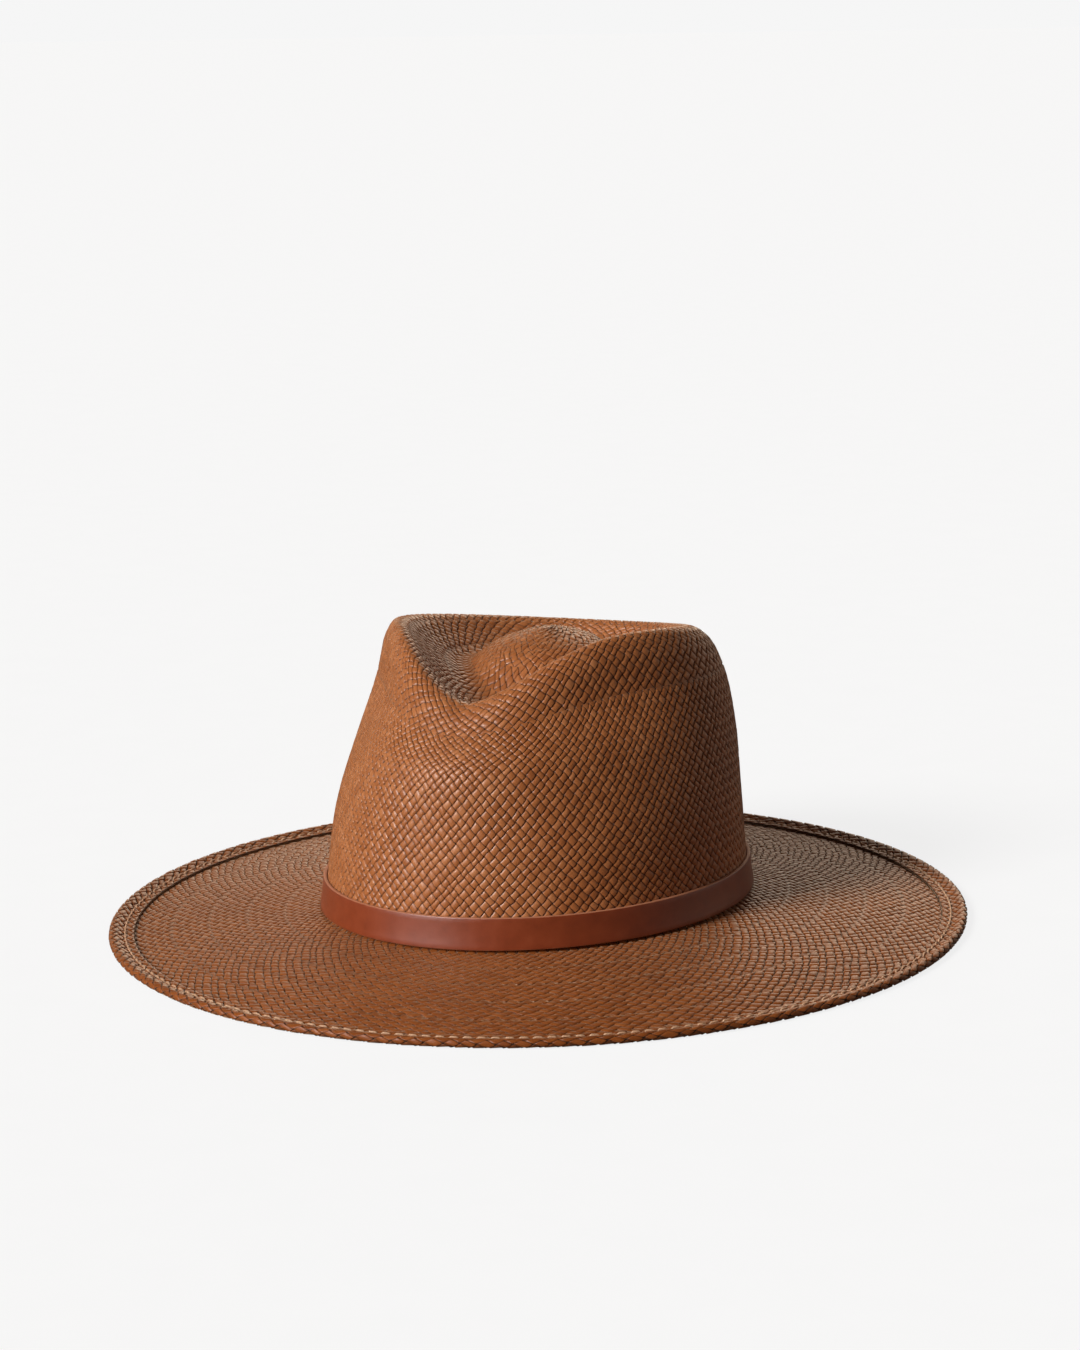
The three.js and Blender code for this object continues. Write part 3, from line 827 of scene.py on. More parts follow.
def makeHatband():
    lap = hatbandShape["lapTurn"] * backLength
    whole = wall["round"][-1] + 2 * lap
    band = flatStrip("leather_hatband", whole, hatbandShape["height"],
                     hatbandShape["columns"], hatbandShape["rows"])
    thicken(band, hatbandShape["thickness"], hatbandShape["rounding"])
    flat = placesOf(band)
    climb = hatbandShape["rampTurn"] * backLength
    share = np.clip((flat[:, 0] - (whole - 2 * lap - climb)) / climb, 0, 1)
    flat[:, 2] += lapLift * share * share * (3 - 2 * share)
    # the brim's bend pushes the lower edge out
    up = flat[:, 1] / hatbandShape["height"]
    flat[:, 2] += hatbandShape["flare"] * (1 - up) ** 2
    setPlaces(band, flat)
    shiftFlat(band, 0, hatbandShape["lift"], hat["clearance"])
    layAlong(band, wall, -lap)
    smoothOver(band)
    return band


def makeLapStitches():
    line = stitchLine("lap_stitches", hatbandShape["stitchLength"], hatbandShape["thread"],
                      hatbandShape["stitchPitch"], hatbandShape["stitchCount"], hatbandShape["stitchDip"])
    flat = placesOf(line)
    middle = hatbandShape["lift"] + hatbandShape["height"] / 2
    row = (hatbandShape["stitchCount"] - 1) * hatbandShape["stitchPitch"] / 2
    face = hat["clearance"] + lapLift + hatbandShape["thickness"] + hatbandShape["stitchLift"]
    setPlaces(line, np.stack([-flat[:, 1], flat[:, 0] - row + middle, flat[:, 2] + face], axis=-1))
    layAlong(line, wall, hatbandShape["stitchTurn"] * backLength)
    smoothOver(line)
    return line


hatband = makeHatband()
lapStitches = makeLapStitches()
print("hatband cut, lapped and sewn")

# The lockstitch that holds the turned hem
hemStitch = {
    "pitch": 0.0053,
    "length": 0.0041,
    "thread": 0.0009,
    "dip": 0.0006,
    "sits": 0.3,           # of its thickness, how high the upper thread's middle lies
    "underThread": 0.0004,
    "underDip": 0.0002,
    "underHeight": 0.00026,
}


def makeHemStitches(name, thread, height, dip, isTop):
    whole = edge["round"][-1]
    count = round(whole / hemStitch["pitch"])
    line = stitchLine(name, hemStitch["length"], thread, whole / count, count, dip)
    flat = placesOf(line)
    turned = 1 if isTop else -1
    setPlaces(line, np.stack([flat[:, 0], flat[:, 1] * turned + brimShape["hemSeam"],
                              flat[:, 2] * turned + height], axis=-1))
    layAlong(line, edge, 0.0 if isTop else whole / count / 2)
    smoothOver(line, 60)
    return line


seamHeight = flapTop - brimShape["seamDip"] + hemStitch["thread"] * hemStitch["sits"]
hemTopStitches = makeHemStitches("hem_top_stitches", hemStitch["thread"], seamHeight, hemStitch["dip"], True)
hemUnderStitches = makeHemStitches("hem_under_stitches", hemStitch["underThread"], hemStitch["underHeight"],
                                   hemStitch["underDip"], False)
print("hem sewn,", len(hemTopStitches.data.polygons), "faces on top")

wireShape = {"sides": 10, "endTurn": 0.1, "rounding": 0.0001}


def makeWire():
    gap = wireShape["endTurn"] / 360 * edge["round"][-1]
    wire = flatRod("brim_edge_wire", edge["round"][-1] - 2 * gap, brimShape["wireDiameter"], wireShape["sides"])
    roundCorners(wire, wireShape["rounding"], 2)
    shiftFlat(wire, 0, foldOuter, foldOuter)
    layAlong(wire, edge, gap)
    smoothOver(wire)
    return wire


wire = makeWire()

# The sweatband: leather, reed, folded tape, seam, bow and label
sweatShape = {
    "height": 0.034,
    "thickness": 0.0010,
    "lift": 0.003,
    "splitTurn": 0.25,
    "rounding": 0.0003,
    "seam": 0.004,         # above the leather's lower edge
    "pressed": 0.00018,    # how far the seam draws the leather in
    "topLine": 0.003,      # a pressed line below the upper edge
    "columns": 300,
    "rows": 34,
    "tapeThickness": 0.0005,
    "tapeFlap": 0.006,
    "tapeTurns": (130, 360),
    "tapeRises": (0.0012, 0.0040),  # above the reed, on the way up to the flap's end
    "tapeColumns": 240,
    "tapeRows": 24,
    "reedSides": 12,
    "reedDiameter": 0.0018,
    "reedPlay": 0.00035,
    "stitchPitch": 0.0034,
    "stitchLength": 0.0029,
    "stitchDip": 0.0002,
    "stitchLift": 0.00005,
    "thread": 0.0004,
}
tapeOuter = hat["strawThickness"] + hat["clearance"]
leatherOuter = tapeOuter + sweatShape["tapeThickness"] + hat["clearance"]
leatherInner = leatherOuter + sweatShape["thickness"]
reedMiddle = leatherOuter + sweatShape["thickness"] / 2
reedHeight = (sweatShape["lift"] - hat["clearance"] - sweatShape["tapeThickness"] - sweatShape["reedPlay"]
              - sweatShape["reedDiameter"] / 2)


def makeSweatband():
    gap = sweatShape["splitTurn"] * backLength
    band = flatStrip("leather_sweatband", wall["round"][-1] - 2 * gap, sweatShape["height"],
                     sweatShape["columns"], sweatShape["rows"])
    moveRow(band, sweatShape["seam"], sweatShape["pressed"])
    moveRow(band, sweatShape["height"] - sweatShape["topLine"], sweatShape["pressed"] * 0.6)
    thicken(band, sweatShape["thickness"], sweatShape["rounding"])
    shiftFlat(band, 0, sweatShape["lift"], -leatherInner)
    layAlong(band, wall, gap)
    smoothOver(band)
    return band


def makeReed():
    reed = flatRod("round_reed", wall["round"][-1], sweatShape["reedDiameter"], sweatShape["reedSides"])
    shiftFlat(reed, 0, reedHeight, -reedMiddle)
    layAlong(reed, wall)
    closeRing(reed)
    smoothOver(reed)
    return reed


def makeTape():
    # a flat tape, folded under and round the reed, with one end run up behind the leather
    radius = sweatShape["reedDiameter"] / 2 + sweatShape["reedPlay"] + sweatShape["tapeThickness"] / 2
    turns = np.radians(np.linspace(*sweatShape["tapeTurns"], 15))
    outs = -reedMiddle + radius * np.cos(turns)
    ups = reedHeight + radius * np.sin(turns)
    flapOut = -tapeOuter - sweatShape["tapeThickness"] / 2
    rises = [reedHeight + rise for rise in sweatShape["tapeRises"]] + [sweatShape["lift"] + sweatShape["tapeFlap"]]
    outs = np.append(outs, [flapOut] * len(rises))
    ups = np.append(ups, rises)
    strides = np.concatenate([[0], np.cumsum(np.hypot(np.diff(outs), np.diff(ups)))])
    tape = flatStrip("folded_tape", wall["round"][-1], strides[-1],
                     sweatShape["tapeColumns"], sweatShape["tapeRows"])
    mapTrim(tape)
    flat = placesOf(tape)
    up, out = np.interp(flat[:, 1], strides, ups), np.interp(flat[:, 1], strides, outs)
    setPlaces(tape, np.stack([flat[:, 0], up, out], axis=-1))
    modify(tape, "SOLIDIFY", thickness=sweatShape["tapeThickness"], offset=0.0)
    layAlong(tape, wall)
    closeRing(tape)
    smoothOver(tape)
    return tape


def makeSweatStitches():
    whole = wall["round"][-1]
    count = round(whole / sweatShape["stitchPitch"])
    line = stitchLine("sweatband_stitches", sweatShape["stitchLength"], sweatShape["thread"], whole / count,
                      count, sweatShape["stitchDip"])
    flat = placesOf(line)
    face = -leatherInner - sweatShape["stitchLift"]
    seam = sweatShape["lift"] + sweatShape["seam"]
    setPlaces(line, np.stack([flat[:, 0], seam - flat[:, 1], face - flat[:, 2]], axis=-1))
    layAlong(line, wall)
    smoothOver(line, 60)
    return line


bowShape = {
    "width": 0.022,
    "height": 0.008,
    "thickness": 0.002,
    "ribbon": 0.0003,
    "knotWidth": 0.004,
    "knotHeight": 0.0046,
    "knotRounding": 0.0004,
    "gathered": 0.42,      # of its height, what a loop keeps beside the knot
    "hollow": 0.0016,      # how far its end curves in
    "gatherDepth": 0.18,   # of its thickness, the pleats beside the knot
    "gatherTurns": 2400,   # radians to a metre
}


def makeBow():
    # one loop of ribbon, mirrored, and a knot wrapped round the middle
    reach = bowShape["width"] / 2
    bpy.ops.object.select_all(action="DESELECT")
    bpy.ops.mesh.primitive_cylinder_add(vertices=32, radius=0.5, depth=1, end_fill_type="NOTHING")
    bow = bpy.context.object
    bow.name = bow.data.name = "ribbon_bow"
    editAll()
    bpy.ops.mesh.subdivide(number_cuts=3)
    bpy.ops.transform.resize(value=(reach, bowShape["thickness"] * 0.8, bowShape["height"]))
    bpy.ops.transform.translate(value=(reach / 2, 0, 0))
    leaveEdit()
    flat = placesOf(bow)
    share = np.clip(flat[:, 0] / reach, 0, 1)
    flat[:, 2] *= bowShape["gathered"] + (1 - bowShape["gathered"]) * share ** 0.7
    flat[:, 0] -= bowShape["hollow"] * share * (1 - (np.abs(flat[:, 2]) / (bowShape["height"] / 2)) ** 2)
    pleats = bowShape["gatherDepth"] * np.sin(flat[:, 2] * bowShape["gatherTurns"])
    flat[:, 1] *= 1 + (pleats - 0.35) * (1 - share)
    setPlaces(bow, flat)
    modify(bow, "SOLIDIFY", thickness=bowShape["ribbon"], offset=-1.0)
    modify(bow, "MIRROR", use_axis=(True, False, False), use_mirror_merge=False)
    bpy.ops.object.select_all(action="DESELECT")
    bpy.ops.mesh.primitive_cylinder_add(vertices=24, radius=0.5, depth=1, rotation=(0, math.pi / 2, 0))
    knot = bpy.context.object
    bpy.ops.object.transform_apply(location=True, rotation=True, scale=True)
    editAll()
    bpy.ops.transform.resize(value=(bowShape["knotWidth"], bowShape["thickness"], bowShape["knotHeight"]))
    leaveEdit()
    roundCorners(knot, bowShape["knotRounding"], 3, 50)
    bow.select_set(True)
    bpy.context.view_layer.objects.active = bow
    bpy.ops.object.join()
    mapTrim(bow, (0, 2))
    low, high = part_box("sweatband_bow")
    shiftFlat(bow, *((low + high) / 2))
    smoothOver(bow, 50)
    return bow


labelShape = {
    "height": 0.012,
    "lift": 0.014,
    "thickness": 0.0003,
    "start": 150,          # degrees
    "turn": 15,
    "rounding": 0.0001,
}


def makeLabel():
    angles = np.append(sheetAngles, 180)
    start = float(np.interp(labelShape["start"], angles, wall["round"]))
    stop = float(np.interp(labelShape["start"] + labelShape["turn"], angles, wall["round"]))
    label = flatStrip("blank_label", stop - start, labelShape["height"], 24, 12)
    thicken(label, labelShape["thickness"], labelShape["rounding"], 2)
    shiftFlat(label, 0, labelShape["lift"], -leatherInner - hat["clearance"] - labelShape["thickness"])
    layAlong(label, wall, start)
    smoothOver(label)
    return label


sweatband = makeSweatband()
reed = makeReed()
tape = makeTape()
sweatStitches = makeSweatStitches()
bow = makeBow()
label = makeLabel()
print("sweatband, reed, tape, bow and label made")


def feed(tree, node, inputs):
    # links sockets, and sets plain values on the node's own sockets
    for name, value in inputs.items():
        if isinstance(value, bpy.types.NodeSocket):
            tree.links.new(value, node.inputs[name])
        else:
            node.inputs[name].default_value = value


def addNode(tree, kind, settings=None, inputs=None):
    node = tree.nodes.new(kind)
    for name, value in (settings or {}).items():
        setattr(node, name, value)
    feed(tree, node, inputs or {})
    return node


def sums(tree, operation, *values):
    node = addNode(tree, "ShaderNodeMath", {"operation": operation}, dict(enumerate(values)))
    return node.outputs[0]


def softStep(tree, value, low, high):
    node = addNode(tree, "ShaderNodeMapRange", {"interpolation_type": "SMOOTHSTEP"},
                   {"Value": value, "From Min": low, "From Max": high})
    return node.outputs["Result"]


def mixColours(tree, share, first, second):
    # the sockets of a colour mix have the same names as those of the other kinds
    node = addNode(tree, "ShaderNodeMix", {"data_type": "RGBA"})
    places = {one.name: k for k, one in enumerate(node.inputs) if one.enabled}
    feed(tree, node, {places["Factor"]: share, places["A"]: first, places["B"]: second})
    return next(one for one in node.outputs if one.enabled)


def addNoise(tree, place, scale, detail, roughness=0.5):
    node = addNode(tree, "ShaderNodeTexNoise", None,
                   {"Vector": place, "Scale": scale, "Detail": detail, "Roughness": roughness})
    return node.outputs["Fac"]


def addBump(tree, height, strength, distance):
    node = addNode(tree, "ShaderNodeBump", None, {"Height": height, "Strength": strength, "Distance": distance})
    return node.outputs["Normal"]


def trimPlace(tree):
    return addNode(tree, "ShaderNodeUVMap", {"uv_map": "trimMap"}).outputs["UV"]


def ramp(tree, value, stops):
    node = addNode(tree, "ShaderNodeValToRGB", None, {"Fac": value})
    elements = node.color_ramp.elements
    while len(elements) < len(stops):
        elements.new(0.5)
    for element, (position, colour) in zip(elements, stops):
        element.position = position
        element.color = (*colour, 1)
    return node.outputs["Color"]


def newGroup(name, inputs, outputs):
    tree = bpy.data.node_groups.new(name, "ShaderNodeTree")
    for label, kind, value in inputs:
        socket = tree.interface.new_socket(name=label, in_out="INPUT", socket_type=kind)
        if value is not None:
            socket.default_value = value
    for label in outputs:
        tree.interface.new_socket(name=label, in_out="OUTPUT", socket_type="NodeSocketFloat")
    return tree, tree.nodes.new("NodeGroupInput"), tree.nodes.new("NodeGroupOutput")


def makeStrawGroup():
    # reads the straw map: the tone of the straw on top, the gaps beside it with their painted shade, and its
    # height
    tree, entry, leave = newGroup("strawWeave", [("Map", "NodeSocketVector", None)],
                                  ["Tone", "GapShade", "Height"])

    def do(operation, *values):
        return sums(tree, operation, *values)

    split = addNode(tree, "ShaderNodeSeparateXYZ", None, {"Vector": entry.outputs["Map"]})
    p, q = split.outputs["X"], split.outputs["Y"]
    cellP, cellQ = do("FLOOR", p), do("FLOOR", q)
    shareP, shareQ = do("FRACT", p), do("FRACT", q)
    odd = do("PINGPONG", do("ADD", cellP, cellQ), 1.0)
    even = do("SUBTRACT", 1.0, odd)

    def pick(whenEven, whenOdd):
        return do("ADD", do("MULTIPLY", whenEven, even), do("MULTIPLY", whenOdd, odd))

    along, across = pick(shareP, shareQ), pick(shareQ, shareP)
    line = pick(do("ADD", cellQ, 0.37), do("ADD", cellP, 771.61))
    end = do("ABSOLUTE", do("MULTIPLY_ADD", along, 2.0, -1.0))
    side = do("ABSOLUTE", do("MULTIPLY_ADD", across, 2.0, -1.0))
    dip = softStep(tree, end, 0.5, 1.0)
    drop = softStep(tree, side, 0.84, 1.0)
    corner = do("SUBTRACT", do("SUBTRACT", 2.0, end), side)
    pit = do("SUBTRACT", 1.0, softStep(tree, corner, 0.05, 0.42))
    strawNoise = addNode(tree, "ShaderNodeTexWhiteNoise", {"noise_dimensions": "1D"}, {"W": line})
    cell = addNode(tree, "ShaderNodeCombineXYZ", None, {"X": cellP, "Y": cellQ})
    cellNoise = addNode(tree, "ShaderNodeTexWhiteNoise", {"noise_dimensions": "2D"}, {"Vector": cell.outputs[0]})
    fibre = addNode(tree, "ShaderNodeCombineXYZ", None, {
        "X": do("MULTIPLY", do("ADD", along, cellNoise.outputs["Value"]), 1.3),
        "Y": do("MULTIPLY", across, 9.0), "Z": line})
    streaks = addNoise(tree, fibre.outputs[0], 1.0, 3.0, 0.6)
    tone = do("MULTIPLY", strawNoise.outputs["Value"], 0.16)
    tone = do("MULTIPLY_ADD", cellNoise.outputs["Value"], 0.14, tone)
    tone = do("MULTIPLY_ADD", streaks, 0.34, tone)
    # painted shade: the slits and corner holes between straws are darkened; the slits at the ends are wide and
    # dark, those along the sides nearly shut
    gap = do("MAXIMUM", pit, do("MULTIPLY", softStep(tree, end, 0.70, 0.92), 0.95))
    gap = do("MAXIMUM", gap, do("MULTIPLY", softStep(tree, side, 0.9, 1.0), 0.3))
    height = do("MULTIPLY_ADD", dip, -0.55, 1.0)
    height = do("MULTIPLY_ADD", drop, -0.3, height)
    height = do("MULTIPLY_ADD", pit, -0.5, height)
    height = do("MULTIPLY_ADD", streaks, 0.22, height)
    feed(tree, leave, {"Tone": do("ADD", tone, 0.08), "GapShade": gap, "Height": height})
    return tree


strawWeave = makeStrawGroup()

strawLooks = {
    # the gap colours are painted shade for the slits and holes between the straws
    "crownStraw": {
        "dark": (0.215, 0.054, 0.011), "middle": (0.400, 0.133, 0.040), "light": (0.600, 0.262, 0.115),
        "gap": (0.020, 0.004, 0.001), "roughness": 0.34, "specular": 0.42, "sheen": 0.40, "bump": 1.4,
    },
    # painted shade: the brim's straw is the crown's straw in darker colours, with more sheen and a deeper bump
    "shadedBrimStraw": {
        "dark": (0.125, 0.026, 0.004), "middle": (0.270, 0.070, 0.012), "light": (0.420, 0.135, 0.036),
        "gap": (0.010, 0.002, 0.0005), "roughness": 0.38, "specular": 0.34, "sheen": 0.52, "bump": 1.9,
    },
}
strawBumpDepth = 0.00022
fineBumpDepth = 0.0001


def newMaterial(name):
    material = bpy.data.materials.new(name)
    material.use_nodes = True
    tree = material.node_tree
    return material, tree, tree.nodes["Principled BSDF"]


def makeStraw(name):
    look = strawLooks[name]
    material, tree, shader = newMaterial(name)
    strawMap = addNode(tree, "ShaderNodeUVMap", {"uv_map": "strawMap"})
    straw = addNode(tree, "ShaderNodeGroup", {"node_tree": strawWeave}, {"Map": strawMap.outputs["UV"]}).outputs
    place = addNode(tree, "ShaderNodeTexCoord")
    clouds = addNoise(tree, place.outputs["Object"], 22.0, 3.0, 0.55)
    tone = sums(tree, "MULTIPLY_ADD", clouds, 0.25, straw["Tone"])
    colour = ramp(tree, tone, [(0.2, look["dark"]), (0.55, look["middle"]), (0.95, look["light"])])
    feed(tree, shader, {
        # painted shade: the slits and holes between straws take the dark gap colour
        "Base Color": mixColours(tree, sums(tree, "MULTIPLY", straw["GapShade"], 0.9), colour, (*look["gap"], 1)),
        "Roughness": sums(tree, "MULTIPLY_ADD", straw["GapShade"], 0.3, look["roughness"]),
        "Normal": addBump(tree, straw["Height"], look["bump"], strawBumpDepth),
        "Specular IOR Level": look["specular"],
        "Sheen Weight": look["sheen"],
        "Sheen Roughness": 0.35,
        "Sheen Tint": (1.0, 0.72, 0.48, 1),
    })
    return material


crownStraw, shadedBrimStraw = makeStraw("crownStraw"), makeStraw("shadedBrimStraw")


def makeLeatherGroup():
    # fine pebbled grain with pores, and slow changes of tone
    tree, entry, leave = newGroup("leatherGrain", [
        ("Map", "NodeSocketVector", None), ("Grain", "NodeSocketFloat", 1.6)], ["Tone", "Height"])
    place = entry.outputs["Map"]
    pebbles = addNode(tree, "ShaderNodeTexVoronoi", {"feature": "DISTANCE_TO_EDGE"},
                      {"Vector": place, "Scale": entry.outputs["Grain"]})
    crease = softStep(tree, pebbles.outputs["Distance"], 0.0, 0.16)
    skin = addNoise(tree, place, 0.16, 5.0, 0.62)
    pores = addNoise(tree, place, 3.4, 2.0)
    feed(tree, leave, {
        "Tone": sums(tree, "MULTIPLY_ADD", skin, 0.75, sums(tree, "MULTIPLY", pores, 0.25)),
        "Height": sums(tree, "MULTIPLY_ADD", crease, 0.7, sums(tree, "MULTIPLY", pores, 0.5)),
    })
    return tree


def makeClothGroup():
    # a plain weave of fine yarns
    tree, entry, leave = newGroup("fineCloth", [
        ("Map", "NodeSocketVector", None), ("Yarns", "NodeSocketFloat", 2.5)], ["Tone", "Height"])
    place = entry.outputs["Map"]
    split = addNode(tree, "ShaderNodeSeparateXYZ", None, {"Vector": place})
    runs = [sums(tree, "MULTIPLY", split.outputs[axis], entry.outputs["Yarns"]) for axis in ("X", "Y")]
    height = sums(tree, "ADD", *[sums(tree, "PINGPONG", run, 0.5) for run in runs])
    fuzz = addNoise(tree, place, 1.3, 4.0, 0.6)
    feed(tree, leave, {
        "Tone": sums(tree, "MULTIPLY_ADD", height, 0.4, sums(tree, "MULTIPLY", fuzz, 0.6)),
        "Height": height,
    })
    return tree


leatherGrain = makeLeatherGroup()
fineCloth = makeClothGroup()

leatherLooks = {
    # low and high are the cut edges, in millimetres on the trim map
    "hatbandLeather": {
        "dark": (0.185, 0.030, 0.007), "middle": (0.225, 0.038, 0.009), "light": (0.265, 0.050, 0.014),
        "cut": (0.50, 0.20, 0.10), "low": -0.6, "high": 12.4, "edge": 0.45,
        "roughness": 0.34, "grain": 1.9, "bump": 0.16, "specular": 0.7,
    },
    "sweatbandLeather": {
        "dark": (0.060, 0.022, 0.011), "middle": (0.105, 0.040, 0.020), "light": (0.150, 0.064, 0.034),
        "cut": (0.24, 0.13, 0.08), "low": 3.0, "high": 37.0, "edge": 0.3,
        "roughness": 0.50, "grain": 1.2, "bump": 0.25, "specular": 0.5,
    },
}


def makeLeather(name):
    look = leatherLooks[name]
    material, tree, shader = newMaterial(name)
    place = trimPlace(tree)
    leather = addNode(tree, "ShaderNodeGroup", {"node_tree": leatherGrain},
                      {"Map": place, "Grain": look["grain"]}).outputs
    colour = ramp(tree, leather["Tone"], [(0.3, look["dark"]), (0.5, look["middle"]), (0.72, look["light"])])
    # the cut edges are paler, and rub along their corners
    up = addNode(tree, "ShaderNodeSeparateXYZ", None, {"Vector": place}).outputs["Y"]
    nearEdge = sums(tree, "MINIMUM", sums(tree, "SUBTRACT", up, look["low"]),
                    sums(tree, "SUBTRACT", look["high"], up))
    rub = sums(tree, "MULTIPLY_ADD", leather["Tone"], look["edge"], look["edge"] * 0.3)
    isCut = sums(tree, "SUBTRACT", 1.0, softStep(tree, nearEdge, 0.05, rub))
    rough = sums(tree, "MULTIPLY_ADD", leather["Tone"], 0.2, look["roughness"] - 0.1)
    feed(tree, shader, {
        "Base Color": mixColours(tree, sums(tree, "MULTIPLY", isCut, 0.8), colour, (*look["cut"], 1)),
        "Roughness": sums(tree, "MULTIPLY_ADD", isCut, 0.3, rough),
        "Normal": addBump(tree, leather["Height"], look["bump"], fineBumpDepth),
        "Specular IOR Level": look["specular"],
    })
    return material


clothLooks = {
    "ribbonCloth": {
        "dark": (0.028, 0.012, 0.007), "light": (0.085, 0.036, 0.020),
        "yarns": 2.6, "roughness": 0.55, "sheen": 0.25,
    },
    "labelCloth": {
        "dark": (0.55, 0.50, 0.42), "light": (0.76, 0.72, 0.64),
        "yarns": 4.0, "roughness": 0.6, "sheen": 0.1,
    },
}


def makeCloth(name):
    look = clothLooks[name]
    material, tree, shader = newMaterial(name)
    cloth = addNode(tree, "ShaderNodeGroup", {"node_tree": fineCloth},
                    {"Map": trimPlace(tree), "Yarns": look["yarns"]}).outputs
    feed(tree, shader, {
        "Base Color": ramp(tree, cloth["Tone"], [(0.25, look["dark"]), (0.75, look["light"])]),
        "Roughness": look["roughness"],
        "Sheen Weight": look["sheen"],
        "Normal": addBump(tree, cloth["Height"], 0.5, fineBumpDepth),
    })
    return material


threadLook = {"dark": (0.36, 0.17, 0.08), "light": (0.74, 0.48, 0.30), "ply": 1.6, "roughness": 0.5, "bump": 0.6}


def makeThread():
    material, tree, shader = newMaterial("twistedThread")
    place = trimPlace(tree)
    split = addNode(tree, "ShaderNodeSeparateXYZ", None, {"Vector": place}).outputs
    run = sums(tree, "MULTIPLY", sums(tree, "ADD", split["X"], split["Y"]), threadLook["ply"])
    ply = sums(tree, "PINGPONG", run, 0.5)
    fuzz = addNoise(tree, place, 0.9, 3.0)
    tone = sums(tree, "MULTIPLY_ADD", ply, 0.8, sums(tree, "MULTIPLY", fuzz, 0.6))
    feed(tree, shader, {
        "Base Color": ramp(tree, tone, [(0.25, threadLook["dark"]), (0.75, threadLook["light"])]),
        "Roughness": threadLook["roughness"],
        "Normal": addBump(tree, ply, threadLook["bump"], fineBumpDepth),
    })
    return material


cloudyLooks = {
    "drawnSteel": {
        "dark": (0.30, 0.29, 0.28), "light": (0.52, 0.51, 0.50),
        "scale": 0.6, "detail": 4.0, "roughness": 0.22, "uneven": 0.3, "metallic": 1.0,
    },
    "reedPlastic": {
        "dark": (0.56, 0.52, 0.44), "light": (0.72, 0.69, 0.61),
        "scale": 0.25, "detail": 3.0, "roughness": 0.32, "uneven": 0.25, "metallic": 0.0,
    },
}


def makeCloudy(name):
    # one soft noise changes both the tone and the gloss
    look = cloudyLooks[name]
    material, tree, shader = newMaterial(name)
    cloud = addNoise(tree, trimPlace(tree), look["scale"], look["detail"])
    feed(tree, shader, {
        "Base Color": ramp(tree, cloud, [(0.3, look["dark"]), (0.7, look["light"])]),
        "Roughness": sums(tree, "MULTIPLY_ADD", cloud, look["uneven"], look["roughness"]),
        "Metallic": look["metallic"],
    })
    return material


hatbandLeather, sweatbandLeather = makeLeather("hatbandLeather"), makeLeather("sweatbandLeather")
ribbonCloth, labelCloth = makeCloth("ribbonCloth"), makeCloth("labelCloth")
thread, steel, reedPlastic = makeThread(), makeCloudy("drawnSteel"), makeCloudy("reedPlastic")
print("materials made")


def settle(piece, material, slot, *nodes):
    # a finished piece takes its material, rides on the hat and stands for its CAD nodes
    piece.data.materials.clear()
    piece.data.materials.append(material)
    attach(piece, "root")
    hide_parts(*nodes)


settle(crown, crownStraw, "straw", "crown")
settle(brim, shadedBrimStraw, "straw", "brim")
settle(hatband, hatbandLeather, "hatband_leather", "hatband")
settle(lapStitches, thread, "thread", "hatband_stitch")
settle(hemTopStitches, thread, "thread", "hem_top_thread")
settle(hemUnderStitches, thread, "thread", "hem_under_thread")
settle(wire, steel, "wire", "brim_wire")
settle(sweatband, sweatbandLeather, "sweatband_leather", "sweatband")
settle(reed, reedPlastic, "reed", "sweatband_reed")
settle(tape, ribbonCloth, "ribbon", "reed_tape")
settle(sweatStitches, thread, "thread", "sweatband_thread")
settle(bow, ribbonCloth, "ribbon", "sweatband_bow")
settle(label, labelCloth, "label", "size_label")


stage = {
    "floorSize": 60.0,
    "floorColour": (0.13, 0.13, 0.13, 1),
    "floorGlow": 0.83,     # lifts the floor to white where the camera sees it
    "floorGrain": 0.02,
    "floorDrop": 0.0003,
    "background": 0.92,
    "fill": 0.075,
    "fillColour": (1.0, 0.80, 0.62, 1),
    "backFill": 0.80,      # low down behind the hat
    "boxTurn": -34,        # a soft box beside the camera, low down
    "boxHeight": 8,
    "boxReach": 27,        # degrees from its middle to where it fades out
    "boxPower": 3.0,
}
suns = {
    "softWindow": {"turn": -27, "height": 32, "size": 18, "power": 2.95, "colour": (1, 1, 1)},
    "backLight": {"turn": 196, "height": 22, "size": 30, "power": 0.35, "colour": stage["fillColour"][:3]},
}


def makeStage():
    bpy.ops.object.select_all(action="DESELECT")
    bpy.ops.mesh.primitive_plane_add(size=stage["floorSize"], location=(0, 0, -stage["floorDrop"]))
    floor = bpy.context.object
    floor.name = "floor"
    material, tree, shader = newMaterial("paleFloor")
    place = addNode(tree, "ShaderNodeTexCoord")
    grain = sums(tree, "MULTIPLY", addNoise(tree, place.outputs["Object"], 40.0, 2.0), stage["floorGrain"])
    path = addNode(tree, "ShaderNodeLightPath")
    feed(tree, shader, {
        "Base Color": mixColours(tree, grain, stage["floorColour"], (1, 1, 1, 1)),
        "Roughness": 1.0,
        "Specular IOR Level": 0.0,
        "Emission Color": (1, 1, 1, 1),
        "Emission Strength": sums(tree, "MULTIPLY", path.outputs["Is Camera Ray"], stage["floorGlow"]),
    })
    floor.data.materials.append(material)


def directionAt(turn, height):
    turn, height = math.radians(turn), math.radians(height)
    return Vector((math.sin(turn) * math.cos(height), -math.cos(turn) * math.cos(height), math.sin(height)))


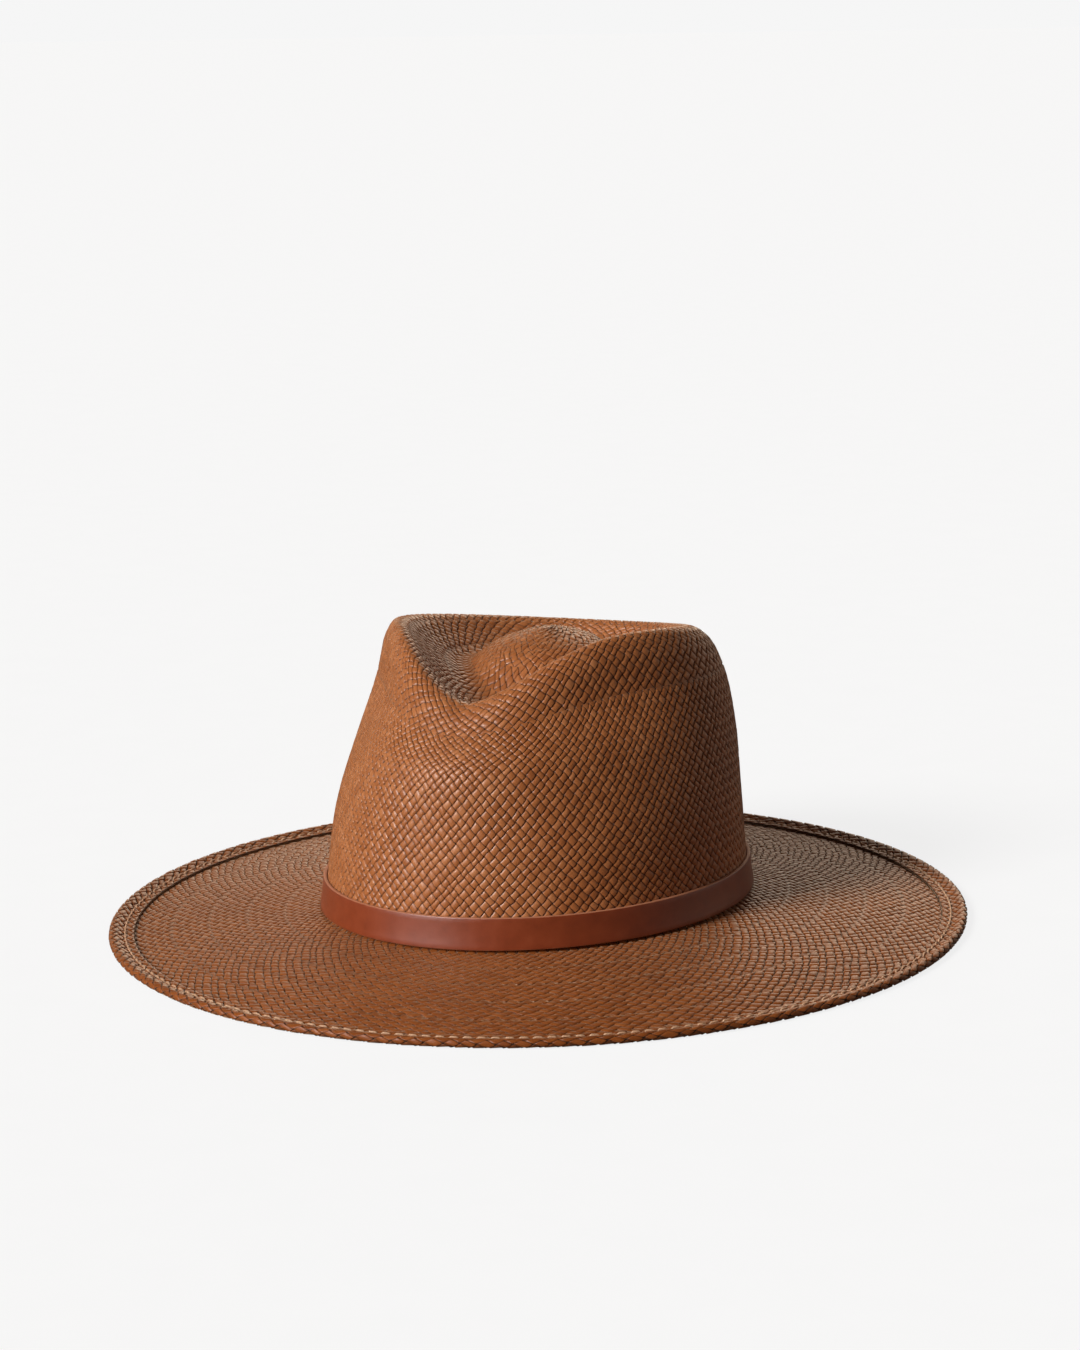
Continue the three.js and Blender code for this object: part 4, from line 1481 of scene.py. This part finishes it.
def makeWorld():
    world = bpy.data.worlds.new("studio")
    bpy.context.scene.world = world
    world.use_nodes = True
    tree = world.node_tree
    background = tree.nodes["Background"]
    place = addNode(tree, "ShaderNodeTexCoord")
    split = addNode(tree, "ShaderNodeSeparateXYZ", None, {"Vector": place.outputs["Generated"]})
    low = sums(tree, "SUBTRACT", 1.0, softStep(tree, split.outputs["Z"], 0.15, 0.45))
    behind = softStep(tree, split.outputs["Y"], -0.1, 0.7)
    glow = sums(tree, "MULTIPLY", low, behind)
    light = sums(tree, "MULTIPLY_ADD", glow, stage["backFill"] - stage["fill"], stage["fill"])
    facing = addNode(tree, "ShaderNodeVectorMath", {"operation": "DOT_PRODUCT"}, {
        0: place.outputs["Generated"], 1: directionAt(stage["boxTurn"], stage["boxHeight"])})
    reach = math.radians(stage["boxReach"])
    box = softStep(tree, facing.outputs["Value"], math.cos(reach), math.cos(reach * 0.55))
    light = sums(tree, "MULTIPLY_ADD", box, stage["boxPower"], light)
    # the camera sees an even white, and only the hat sees the lights
    isSeen = addNode(tree, "ShaderNodeLightPath").outputs["Is Camera Ray"]
    isWhite = sums(tree, "MAXIMUM", box, isSeen)
    unseen = sums(tree, "MULTIPLY", sums(tree, "SUBTRACT", 1.0, isSeen), light)
    feed(tree, background, {
        "Color": mixColours(tree, isWhite, stage["fillColour"], (1, 1, 1, 1)),
        "Strength": sums(tree, "MULTIPLY_ADD", isSeen, stage["background"], unseen),
    })


def makeSun(name):
    look = suns[name]
    bpy.ops.object.light_add(type="SUN", location=(0, 0, 2))
    sun = bpy.context.object
    sun.name = name
    sun.rotation_mode = "QUATERNION"
    sun.rotation_quaternion = directionAt(look["turn"], look["height"]).to_track_quat("Z", "Y")
    sun.data.energy = look["power"]
    sun.data.color = look["colour"]
    sun.data.angle = math.radians(look["size"])


camera = {
    "turn": 24,            # degrees, towards the wearer's left
    "height": 11.54,
    "roll": -1.10,
    "distance": 1.4,
    "aim": 0.10424,        # above the floor
    "aside": 0.00225,
    "lens": 110.87,
    "sensor": 36,
}


def makeCamera():
    bpy.ops.object.camera_add()
    eye = bpy.context.object
    turn = math.radians(camera["turn"])
    right = Vector((math.cos(turn), math.sin(turn), 0))
    back = directionAt(camera["turn"], camera["height"])
    target = Vector((0, 0, camera["aim"])) + right * camera["aside"]
    eye.location = target + back * camera["distance"]
    eye.rotation_mode = "QUATERNION"
    level = (-back).to_track_quat("-Z", "Y")
    eye.rotation_quaternion = level @ Matrix.Rotation(math.radians(camera["roll"]), 3, "Z").to_quaternion()
    eye.data.sensor_fit = "HORIZONTAL"
    eye.data.sensor_width = camera["sensor"]
    eye.data.lens = camera["lens"]
    bpy.context.scene.camera = eye


makeStage()
makeWorld()
for name in suns:
    makeSun(name)
makeCamera()
bpy.context.scene.view_settings.view_transform = "Standard"
print("stage, light and camera set")
